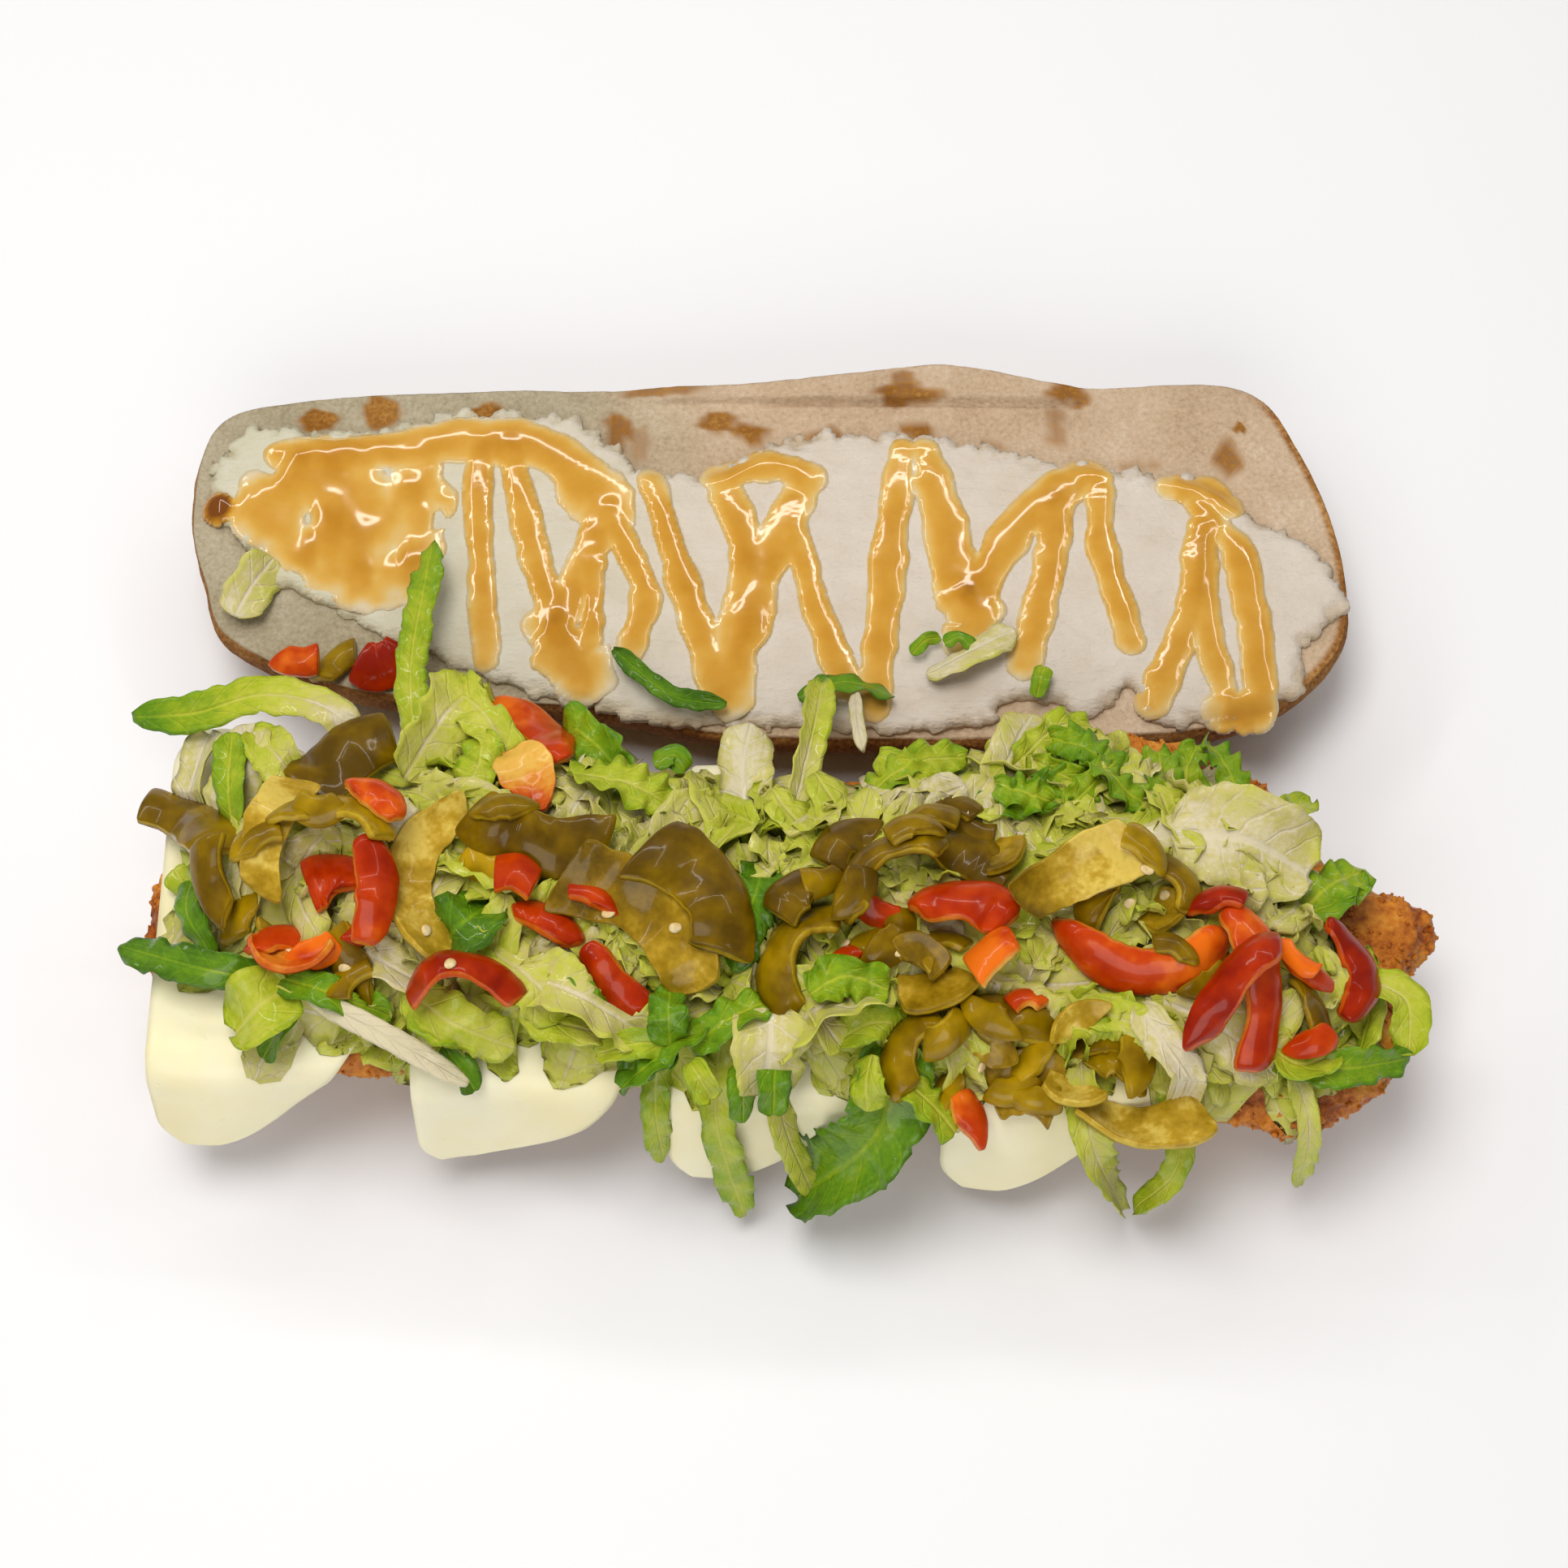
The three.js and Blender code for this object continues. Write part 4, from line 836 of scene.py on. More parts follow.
def cheese_slice(number, left, edge, hang, turn, wave):
    """A half slice laid flat on its bed, with its round front bent down over the cutlet's edge."""
    rows, columns = 76, 28
    share = np.linspace(0, 1, rows)[:, None] ** 1.25
    along = -(CHEESE_RADIUS - 1) + 2 * (CHEESE_RADIUS - 1) * share
    chord = np.sqrt(CHEESE_RADIUS ** 2 - along ** 2)
    corner = np.maximum(np.abs(along) - (CHEESE_RADIUS - CHEESE_ROUNDING), 0)
    inset = CHEESE_ROUNDING - np.sqrt(CHEESE_ROUNDING ** 2 - corner ** 2)
    across = inset + (np.maximum(chord, inset + 4) - inset) * np.linspace(0, 1, columns)[None, :]
    along = along + turn * across
    over = np.maximum(hang - CHEESE_RADIUS - along, 0)
    bend = np.minimum(over / DROOP_RADIUS, DROOP_SLOPE)
    rest = over - bend * DROOP_RADIUS
    out = DROOP_RADIUS * np.sin(bend) + rest * math.cos(DROOP_SLOPE)
    drop = DROOP_RADIUS * (1 - np.cos(bend)) + rest * math.sin(DROOP_SLOPE)
    flat = np.maximum(along, hang - CHEESE_RADIUS)
    ripple = wave * np.sin(across * 0.13) * np.minimum(over / 15, 1)
    base = np.stack([left + across + ripple * 0.4, edge + flat - (hang - CHEESE_RADIUS) - out - ripple,
                     CHEESE_BED - drop], -1).reshape(-1, 3)
    normal = np.stack([np.zeros_like(bend), -np.sin(bend), np.cos(bend)], -1).reshape(-1, 3)
    near_edge = np.ones((rows, columns))
    for inner, thick in ((1, 0.85), (0, 0.45)):
        near_edge[[inner, -1 - inner], :] = np.minimum(near_edge[[inner, -1 - inner], :], thick)
        near_edge[:, [inner, -1 - inner]] = np.minimum(near_edge[:, [inner, -1 - inner]], thick)
    half = (CHEESE_THICK * 0.5 * near_edge).reshape(-1, 1)
    middle = base + normal * (CHEESE_THICK * 0.5 + 0.3 * lumps(base, 16, number)[:, None])
    points = np.concatenate([middle + normal * half, middle - normal * half])
    piece = make_piece(f"half_slice_{number}", points, sheet_faces(rows, columns).tolist())
    piece.data.materials.append(cheese)
    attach(piece, "root")
    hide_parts(f"cheese_{number}")
    return piece


slices = [cheese_slice(number, *row) for number, row in enumerate(SLICES, 1)]

# ---- Strips of pickled green and fresh red pepper ------------------------------------------
# Jalapenos and red chillies cut in strips and half rings, wet and shiny. The skin is smooth and
# dark; the flesh inside is paler and grainy. Each follows an arc, read again from its solid.

PEPPER_WALL = 2.1
# Each strip: from x, y, to x, y, bow of the arc, width, tilt of the skin and a tone from 0 to 1,
# or its tones at both ends.
GREEN_STRIPS = [
    (-62, -17.5, -64, -47.5, -10, 9, -60, 0.85), (-79, 3.5, -95, -13.5, -2, 14, 80, 0.12),
    (-61, -19, -34, -25, -4, 12, 70, 0.2), (-43, -34, -17, -54, 6, 14, -65, (0.3, 0.65)),
    (-27, -29, -12, -49, 6, 15, 80, 0.2), (61.5, -41, 77.5, -40, 12, 9, 50, 0.35),
    (45.5, -40.5, 68.5, -28.5, 2, 12, -60, (0.35, 1.25)), (27, -23.5, 43, -33.5, 2, 11, 70, 0.12),
    (14, -43, 31, -30, 8, 8, 50, 0.25), (11, -41, 2, -58, -8, 9, 45, 0.5),
    (58, -73, 82, -75, -3, 10, -60, 0.85), (-95.5, -11.5, -101.5, -35.5, -2, 9, -70, 0.85),
    (-129.5, -10.5, -110.5, -26.5, 3, 10, 80, (0.2, 0.55)), (-97, -24, -77, -28, 6, 8, 45, 0.6),
    (-112, -25, -108, -39, -2, 7, 70, 0.35), (15, -48, 29, -49, 3, 9, 60, 0.5),
    (22, -55, 36, -51, -2, 9, -60, 0.55), (24, -72, 30, -60, 5, 8, 55, 0.5),
    (35, -60, 50, -63, 4, 10, 60, 0.5), (40, -71, 53, -72, 3, 12, -65, 0.5),
    (59.5, -67.5, 66.5, -70.5, 3, 8, 60, 0.4), (98, -54, 103, -63, 2, 7, 60, 0.3),
    (-87.5, -42, -79.5, -52, -1, 8, 60, 0.4), (7, -36, -1, -42, -2, 9, 75, 0.0),
    (9, -30, 18, -24, 3, 10, 80, 0.05), (-98, 25, -91, 33, 1, 7, 75, 0.5),
]
RED_STRIPS = [
    (54.5, -39.5, 84.5, -42.5, -10, 11, 40, (0.45, 0.95)), (25.5, -40.5, 43.5, -43, 3.5, 11.5, 70, 0.5),
    (-59.5, 14, -44.5, -5, 3, 10, 60, (0.75, 0.4)), (-72, -57, -51, -57, 5, 8, 60, 0.3),
    (83.5, -40, 88.5, -69, 5, 9, 65, (0.75, 0.35)), (94, -50, 79, -66, -3, 8, 65, 0.3),
    (-52.5, -39.5, -40.5, -45.5, 2, 8, 70, 0.4), (-38, -45, -26, -56, -2, 7, 60, 0.4),
    (105, -40.5, 108, -57.5, 6, 8, 50, 0.1), (-93, -33, -83, -34, 2, 12, 80, 0.45),
    (-81.5, -27, -80.5, -47, 3, 8, 70, (0.2, 0.8)), (-103, -42.5, -88, -44.5, -4, 8, -50, (0.4, 0.75)),
    (-54, -2, -50, -16, 1, 11, -75, (1.8, 0.2)), (-84.5, -17.5, -74.5, -24.5, 2, 8, 60, 0.8),
    (36, -54, 44, -47, 1, 9, 60, 1.0), (97, -45, 106, -53, -3, 5, 45, 0.8),
    (34, -71, 36, -79, 1, 7, 60, 0.65), (-56, -32.5, -48, -35.5, 1, 8, 70, 0.5),
    (-107, 31, -98, 28, -1, 8, 75, 0.7), (-90.5, 29.5, -80.5, 32.5, -3, 9, 75, 0.1),
]
# The wall's section: where each point lies across it, and how near the outer side.
SECTION_ACROSS = np.array((-1, -0.985, -0.93, -0.72, -0.45, -0.15, 0.15, 0.45, 0.72, 0.93, 0.985, 1))
SECTION_LEVEL = np.array((0.5, 0.9, 1, 1, 1, 1, 1, 1, 1, 1, 0.9, 0.5))
across_wall = np.concatenate([SECTION_ACROSS, SECTION_ACROSS[::-1]])
wall_level = np.concatenate([SECTION_LEVEL, -SECTION_LEVEL])


def arc_through(start, end, bow):
    """Centre, outward way, onward way, radius and half angle of an arc between two places."""
    start, end = np.array(start, float), np.array(end, float)
    chord = np.linalg.norm(end - start)
    way = (end - start) / chord
    left = np.array((-way[1], way[0])) * (-1 if bow < 0 else 1)
    height = max(abs(bow), 0.5)
    radius = (chord ** 2 / 4 + height ** 2) / (2 * height)
    half = 2 * math.atan2(2 * height, chord)
    return (start + end) / 2 + left * (height - radius), left, way, radius, half


def lie_of(solid, arc, tilt):
    """Where a solid's strip lies on each spoke of its arc: share of the arc, height and lean."""
    centre, left, way, radius, half = arc
    from_centre = solid[:, :2] - centre
    shares = np.arctan2(from_centre @ way, from_centre @ left) / half
    tilt_way = np.array((math.cos(math.radians(tilt)), math.sin(math.radians(tilt))))
    spokes = []
    for share in np.unique(np.round(shares, 3)):
        on_spoke = np.abs(shares - share) < 0.004
        section = np.column_stack([np.linalg.norm(from_centre[on_spoke], axis=1), solid[on_spoke, 2]])
        section = np.unique(np.round(section, 3), axis=0)
        skin = np.linalg.svd(section - section.mean(0))[2][1]
        skin = skin * np.sign(skin @ tilt_way)
        spokes.append((share, section[:, 1].mean(), math.atan2(skin[1], skin[0])))
    spokes = np.array(spokes)
    slope, level = np.polyfit(spokes[1:-1, 0], spokes[1:-1, 2], 1)
    return spokes[:, 0], spokes[:, 1], level + slope * spokes[:, 0]


def pepper_wall(arc, lie, wide, tone, seed, pointed, along=42):
    """A strip of pepper wall on an arc: a smooth skin, slanted cut ends and ribbed flesh."""
    centre, left, way, radius, half = arc
    share = -np.cos(np.linspace(0.03, 0.97, along) * math.pi)
    share = share / share[-1] * 0.996
    run = share * half * radius
    lean = np.interp(share, lie[0], lie[2]) + 0.4 * along_lumps(run, 13, seed)
    rise = np.interp(share, lie[0], lie[1]) - 0.05 * wide * np.sin(lean)
    outward = left[None] * np.cos(share * half)[:, None] + way[None] * np.sin(share * half)[:, None]
    onward = way[None] * np.cos(share * half)[:, None] - left[None] * np.sin(share * half)[:, None]
    blunt = np.sqrt(1 - np.abs(share) ** 44)
    swell = 1 + 0.3 * along_lumps(run, 14, seed + 6) - pointed * np.abs(share) ** 3
    edges = np.stack([along_lumps(run, 3.4, seed + side, 2) for side in (1, 2)])
    edge_shift = np.where(across_wall[None] < 0, edges[0][:, None], edges[1][:, None]) * 0.35
    span = (wide * 0.51 * (blunt * swell)[:, None] + edge_shift) * across_wall[None]
    slants = np.random.default_rng(seed).uniform(-0.75, 0.75, 2)
    slanted = span * (np.where(share < 0, *slants) * share ** 2)[:, None]
    thick = PEPPER_WALL * (0.8 + 0.2 * (1 - across_wall ** 2)) * 0.5
    dome = (0.13 + 0.07 * along_lumps(run, 11, seed + 3)) * wide
    ribs = np.exp(-((np.abs(across_wall) - 0.35) / 0.16) ** 2) * (wall_level < 0)
    rib_depth = np.clip(0.3 + along_lumps(run, 4, seed + 4, 2), 0, 1)
    skinward = dome[:, None] * (1 - across_wall[None] ** 2) + (thick * wall_level)[None]
    skinward = (skinward - 0.7 * ribs[None] * rib_depth[:, None]) * blunt[:, None]
    skin = np.column_stack([outward * np.cos(lean)[:, None], np.sin(lean)])
    width = np.column_stack([-outward * np.sin(lean)[:, None], np.cos(lean)])
    onward = np.column_stack([onward, np.zeros(along)])
    wander = 0.6 * along_lumps(run, 8, seed + 5)
    middle = np.column_stack([centre + outward * (radius + wander[:, None]), rise])
    rings = middle[:, None] + width[:, None] * span[..., None] + skin[:, None] * skinward[..., None]
    points, faces = ringed(list(rings + onward[:, None] * slanted[..., None]))
    flesh = np.tile(1 - ease(wall_level, 0.6, 0.98), along)
    inner = np.tile((wall_level < 0).astype(float), along)
    at_end = np.repeat(ease(np.abs(share), 0.975, 0.99), len(across_wall))
    own_tone = np.interp(share, (-1, 1), np.broadcast_to(tone, 2)) + 0.2 * along_lumps(run, 9, seed + 9)
    own_tone = np.repeat(own_tone, len(across_wall))
    return points, faces, {"flesh": np.maximum(flesh, at_end), "inner": inner, "own_tone": own_tone}


def pepper_strip(kind, number, row, finish):
    """A strip that takes the place of its solid."""
    x0, y0, x1, y1, bow, wide, tilt, tone = row
    arc = arc_through((x0, y0), (x1, y1), bow)
    lie = lie_of(places_of(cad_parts[f"{kind}_{number:02d}"]), arc, tilt)
    long = 2 * arc[3] * arc[4]
    seed = number + 5 * len(kind)
    pointed = 0.5 if kind == "red_pepper" and long > 13 else 0.1
    points, faces, values = pepper_wall(arc, lie, wide, tone, seed, pointed)
    piece = make_piece(f"{kind}_strip_{number:02d}", points, faces, values)
    grainy = 0.16 * lumps(points, 2.8, seed, 2) * values["inner"]
    push_out(piece, grainy + 0.35 * lumps(points, 6.5, seed + 1))
    piece.data.materials.append(finish)
    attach(piece, "root")
    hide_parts(f"{kind}_{number:02d}")
    return piece


def pepper_finish(name, skins, fleshes, inners):
    """Pepper in brine: a tight shiny skin over grainy wet flesh that shows on the cut edges."""
    material, tree, shader, here = start_material(name, Roughness=0.34, IOR=1.38)
    shader.inputs["Specular IOR Level"].default_value = 0.25
    shader.inputs["Coat Weight"].default_value = 0.35
    shader.inputs["Coat Roughness"].default_value = 0.08
    shader.inputs["Subsurface Weight"].default_value = 0.1
    shader.inputs["Subsurface Radius"].default_value = (0.003, 0.0015, 0.0003)
    fine = grain(tree, here, 1.1)
    broad = grain(tree, here, 6)
    toned = sum_of(tree, broad, 1.3, sum_of(tree, kept(tree, "own_tone"), 1.0, -0.65), clamp=True)
    grainy = sum_of(tree, fine, 0.4, sum_of(tree, toned, 1.0, -0.2), clamp=True)
    flesh = kept(tree, "flesh")
    ragged = add_node(tree, "ShaderNodeMath", {"operation": "MULTIPLY", "use_clamp": True},
                      {0: sum_of(tree, fine, 0.6, sum_of(tree, flesh, 1.0, -0.2)), 1: flesh}).outputs[0]
    inside = mixed(tree, kept(tree, "inner"), shades(tree, grainy, fleshes), shades(tree, grainy, inners))
    colour = mixed(tree, ragged, shades(tree, toned, skins), inside)
    tree.links.new(colour, shader.inputs["Base Color"])
    wet = add_node(tree, "ShaderNodeMath", {"operation": "MULTIPLY"}, {0: fine, 1: flesh}).outputs[0]
    bumpy(tree, shader, sum_of(tree, wet, 0.5, broad), 0.6, 0.4)
    return material


pickled_green = pepper_finish(
    "pickled_green_pepper",
    [(0.0, "#5a4200"), (0.3, "#775b00"), (0.6, "#967800"), (1.0, "#bc980c")],
    [(0.0, "#a08414"), (0.5, "#b99c22"), (1.0, "#d2b836")],
    [(0.0, "#5c4602"), (0.3, "#7e6208"), (0.55, "#9c7c12"), (0.8, "#bc9a2c"), (1.0, "#dcc25c")])
fresh_red = pepper_finish(
    "fresh_red_pepper",
    [(0.0, "#8c1800"), (0.35, "#ac2a00"), (0.7, "#c84204"), (1.0, "#e87012")],
    [(0.0, "#c04a0e"), (0.5, "#d86c1a"), (1.0, "#e8983c")],
    [(0.0, "#b03404"), (0.4, "#cc5810"), (0.7, "#de8c2a"), (1.0, "#e8b854")])

strips = []
for number, row in enumerate(GREEN_STRIPS, 1):
    strips.append(pepper_strip("green_pepper", number, row, pickled_green))
for number, row in enumerate(RED_STRIPS, 1):
    strips.append(pepper_strip("red_pepper", number, row, fresh_red))

# Pepper in brine is limp, so where a strip spans a gap it hangs down a little: by at most so
# much, with a bend of no more than this slope, and clear of what lies below by this much.
MOST_SAG = 4.0
SAG_SLOPE = 0.3
SAG_CLEAR = 0.3
# Only strips whose middles lie this near can carry it, and gaps are felt for from so far above.
NEIGHBOUR_REACH = 40.0
PROBE_ABOVE = 1.5
DOWN = Vector((0, 0, -1))


def tree_of(objects):
    """A search tree over the faces of several objects."""
    corners, faces = [], []
    for item in objects:
        first = len(corners)
        corners += [corner.co[:] for corner in item.data.vertices]
        faces += [[first + index for index in face.vertices] for face in item.data.polygons]
    return BVHTree.FromPolygons(corners, faces)


def let_down(strip, bed, others):
    """Lets the free stretches of a strip down towards what lies below them."""
    points = places_of(strip)
    rings = points.reshape(-1, len(across_wall), 3)
    middle = points.mean(0)
    near = [item for item in others if np.linalg.norm(places_of(item).mean(0) - middle) < NEIGHBOUR_REACH]
    beneath = [bed, tree_of(near)]
    gaps = []
    for ring in rings:
        gap = MOST_SAG
        for point in ring:
            start = Vector((point + LAYOUT_ZERO + (0, 0, PROBE_ABOVE)) / 1000)
            for landing in beneath:
                away = landing.ray_cast(start, DOWN)[3]
                if away is not None:
                    gap = min(gap, away * 1000 - PROBE_ABOVE - SAG_CLEAR)
        gaps.append(max(gap, 0.0))
    run = np.append(0, np.cumsum(np.linalg.norm(np.diff(rings.mean(1), axis=0), axis=1)))
    sag = (np.array(gaps)[None] + SAG_SLOPE * np.abs(run[:, None] - run[None])).min(1)
    points[:, 2] -= np.repeat(sag, len(across_wall))
    move_to(strip, points)


pepper_bed = tree_of([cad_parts["lettuce"], upper] + cutlets + slices)
for strip in sorted(strips, key=lambda item: places_of(item)[:, 2].mean()):
    let_down(strip, pepper_bed, [other for other in strips if other is not strip])

# ---- Shredded lettuce ----------------------------------------------------------------------
# Iceberg and romaine cut in shreds and heaped along the roll: pale watery ribs, crisp
# yellow-green frills and a few dark outer leaves, all wet, some hanging over the front.

HEAP_CORNERS = [
    (-119, -26), (-111, -8), (-90, 0), (-44, 2), (-26, -6), (0, -9), (22, -7), (50, 0), (72, -2),
    (88, -13), (99, -29), (110, -42), (112, -58), (98, -65), (60, -64), (20, -65), (-6, -62),
    (-30, -61), (-56, -58), (-84, -56), (-107, -49),
]
HEAP_SPINE = (-88, 84, -29)
HEAP_FLOOR = BED + 0.4 + CHEESE_THICK + 0.4
# The heap's profile from its foot to its crest: share of the outline and rise.
HEAP_SIDE = [(0.95, 0), (0.98, 1.6), (0.88, 4.2), (0.66, 8.6), (0.4, 11), (0.16, 12), (0.02, 12.2)]


def wet_leaf():
    """Raw lettuce: watery and thin, whitish at the rib and green at the frill, shiny from water."""
    material, tree, shader, here = start_material("wet_lettuce_leaf", Roughness=0.36, IOR=1.38)
    shader.inputs["Specular IOR Level"].default_value = 0.35
    shader.inputs["Coat Weight"].default_value = 0.4
    shader.inputs["Coat Roughness"].default_value = 0.06
    shader.inputs["Subsurface Weight"].default_value = 0.18
    shader.inputs["Subsurface Radius"].default_value = (0.0014, 0.0018, 0.0004)
    fine = grain(tree, here, 1.3, 4.0, 0.6)
    broad = grain(tree, here, 8)
    run, across = kept(tree, "run"), kept(tree, "across")
    off_rib = add_node(tree, "ShaderNodeMath", {"operation": "ABSOLUTE"}, {0: across}).outputs[0]
    spaced = sum_of(tree, run, 0.2, sum_of(tree, off_rib, -1.1, sum_of(tree, broad, 0.9, 0.0)))
    nearest = add_node(tree, "ShaderNodeMath", {"operation": "PINGPONG"}, {0: spaced, 1: 0.5}).outputs[0]
    side_vein = add_node(tree, "ShaderNodeMapRange", {"interpolation_type": "SMOOTHSTEP"},
                         {"Value": nearest, "From Min": 0.0, "From Max": 0.1, "To Min": 0.6, "To Max": 0.0})
    midrib = add_node(tree, "ShaderNodeMapRange", {"interpolation_type": "SMOOTHSTEP"},
                      {"Value": off_rib, "From Min": 0.02, "From Max": 0.13, "To Min": 1.0, "To Max": 0.0})
    vein = add_node(tree, "ShaderNodeMath", {"operation": "MAXIMUM"},
                    {0: side_vein.outputs[0], 1: midrib.outputs[0]}).outputs[0]
    fibre_run, fibre_side = sum_of(tree, run, 0.06, 0.0), sum_of(tree, across, 4.0, 0.0)
    fibre_place = add_node(tree, "ShaderNodeCombineXYZ", None,
                           {0: fibre_run, 1: fibre_side, 2: broad}).outputs[0]
    fibres = add_node(tree, "ShaderNodeTexNoise", None, {"Vector": fibre_place, "Scale": 1.6}).outputs[0]
    tone = sum_of(tree, broad, 0.44, sum_of(tree, fine, 0.3, -0.37))
    tone = sum_of(tree, fibres, 0.24, sum_of(tree, tone, 1.0, -0.12))
    tone = sum_of(tree, vein, -0.13, sum_of(tree, tone, 1.0, kept(tree, "green")), clamp=True)
    colour = shades(tree, tone, [(0.0, "#dad1b2"), (0.12, "#cbc27e"), (0.28, "#c4c650"), (0.44, "#aeba2c"),
                                 (0.6, "#8aa61a"), (0.78, "#649014"), (1.0, "#3e660e")])
    tree.links.new(colour, shader.inputs["Base Color"])
    relief = sum_of(tree, vein, -0.8, sum_of(tree, fine, 0.9, sum_of(tree, fibres, 0.5, 0.0)))
    bumpy(tree, shader, relief, 0.6, 0.5)
    return material


leaf_finish = wet_leaf()


def heap_core():
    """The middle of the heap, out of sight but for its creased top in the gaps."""
    rim = smooth_line(HEAP_CORNERS, 200, closed=True)
    rings = []
    for share in np.linspace(0.05, 0.93, 8):
        rings.append(np.column_stack([drawn_in(rim, HEAP_SPINE, share), np.full(len(rim), HEAP_FLOOR)]))
    for share, rise in smooth_line(HEAP_SIDE, 34):
        ring = drawn_in(rim, HEAP_SPINE, share)
        wave = 1.5 * np.sin(ring[:, 0] * 0.09) * rise / 12
        rings.append(np.column_stack([ring, HEAP_FLOOR + rise + wave - 1.2]))
    rings[8][:, 2] = HEAP_FLOOR
    points, faces = ringed(rings)
    values = {"green": 0.25 + 0.3 * lumps(points, 12, 3, 2), "run": points[:, 0], "across": points[:, 1] / 10}
    piece = make_piece("lettuce_core", points, faces, values)
    above = ease(points[:, 2], HEAP_FLOOR + 0.3, HEAP_FLOOR + 2)
    push_out(piece, above * (1.2 * np.abs(lumps(points, 6, 5, 3)) - 0.8))
    piece.data.materials.append(leaf_finish)
    return piece


core = heap_core()

# What leaves rest on, and what they tuck under.
carriers = tree_of(cutlets + slices + [upper, spread, sauce_piece])
over_peppers = tree_of(strips)
UP = Vector((0, 0, 1))
heap_rim = smooth_line(HEAP_CORNERS, 120, closed=True)
# Metres above the floor, over all of the food, from which leaves and small bits are let down.
DROP_FROM = 0.1
# Metres kept between a leaf and what it rests on or tucks under.
LEAF_OVER, LEAF_UNDER = 0.0004, 0.0005
# Millimetres from one ruffle of a leaf's edge to the next, and how much closer they stand for
# each millimetre that the edge swings.
RUFFLE_SPACING = 7.0
RUFFLE_CLOSER = 1.3


def drape(points, sag):
    """Lets leaves sag outside the heap, rest on what carries them and tuck under the peppers."""
    points = points.copy()
    outside = np.maximum(-inside_by(points[:, :2], heap_rim), 0)
    points[:, 2] -= sag * outside ** 1.4
    for index, (x, y, z) in enumerate(((points + LAYOUT_ZERO) / 1000).tolist()):
        under = carriers.ray_cast(Vector((x, y, DROP_FROM)), DOWN)[0]
        if under is not None and z < under.z + LEAF_OVER:
            z = under.z + LEAF_OVER
        over = over_peppers.ray_cast(Vector((x, y, 0.03)), UP)[0]
        if over is not None and z > over.z - LEAF_UNDER:
            z = over.z - LEAF_UNDER
        points[index, 2] = max(z * 1000, 0.5)
    return points


def leaf_strip(line, wide, ruffle, curl, lean, thick, seed, columns):
    """Points of a ruffled strip of leaf along a line, with how far each lies along and across."""
    rows = len(line)
    tangent = np.gradient(line, axis=0)
    tangent /= np.linalg.norm(tangent, axis=1)[:, None]
    level = np.column_stack([-tangent[:, 1], tangent[:, 0], np.zeros(rows)])
    level /= np.linalg.norm(level, axis=1)[:, None] + 1e-9
    run = np.append(0, np.cumsum(np.linalg.norm(np.diff(line, axis=0), axis=1)))
    share = run / run[-1]
    turn = lean + 0.35 * np.sin(share * 4 + seed)
    side = level * np.cos(turn)[:, None] + np.cross(tangent, level) * np.sin(turn)[:, None]
    facing = np.cross(tangent, side)
    across = np.linspace(-1, 1, columns)
    cuts = [along_lumps(run, 3.4, seed + 40 * half, 2) for half in (0, 1)]
    cut = np.where(across[None] < 0, cuts[0][:, None], cuts[1][:, None])
    taper = 1 - 0.75 * np.abs(2 * share - 1) ** 7
    span = wide / 2 * taper[:, None] * (0.95 + 0.26 * min(1, 0.25 + ruffle) * cut * np.abs(across))
    beat = run * 2 * math.pi / (RUFFLE_SPACING - RUFFLE_CLOSER * ruffle) + 1.6 * along_lumps(run, 7, seed + 3)
    swing = ruffle * (0.75 + 0.6 * along_lumps(run, 9, seed + 4))
    wave = swing[:, None] * np.abs(across) ** 1.6 * np.sin(beat[:, None] + np.sign(across) * 1.3)
    bowl = curl * wide * across[None] ** 2
    middle = line[:, None] + side[:, None] * (span * across)[..., None]
    blister = lumps(middle.reshape(-1, 3), 3.8, seed, 2).reshape(rows, columns) * (0.12 + 0.3 * ruffle)
    middle = middle + facing[:, None] * (wave + bowl + blister)[..., None]
    rim = np.minimum(1, 0.45 + 1.6 * (1 - np.abs(across)))
    half = facing[:, None] * (thick / 2 * rim)[None, :, None]
    points = np.concatenate([(middle + half).reshape(-1, 3), (middle - half).reshape(-1, 3)])
    along = np.repeat(run, columns)
    return points, np.tile(along, 2), np.tile(across, 2 * rows)


# Each kind of strewn shred: shapes, lengths, widths, ruffle, thickness, number for each square
# metre, lean, lift, the green of its middle, what its edges add, and how far single shreds vary.
SHRED_KINDS = {
    "lettuce_ribs": (12, (14, 30), (5, 9), 0.3, 1.2, 10500, 0.28, 0.0022, 0.05, 0.14, 0.16),
    "lettuce_leaves": (14, (14, 27), (7, 12), 1.1, 0.5, 14000, 0.42, 0.0030, 0.34, 0.14, 0.34),
    "lettuce_frills": (14, (7, 13), (6, 9), 1.9, 0.45, 12500, 0.95, 0.0036, 0.44, 0.12, 0.3),
}


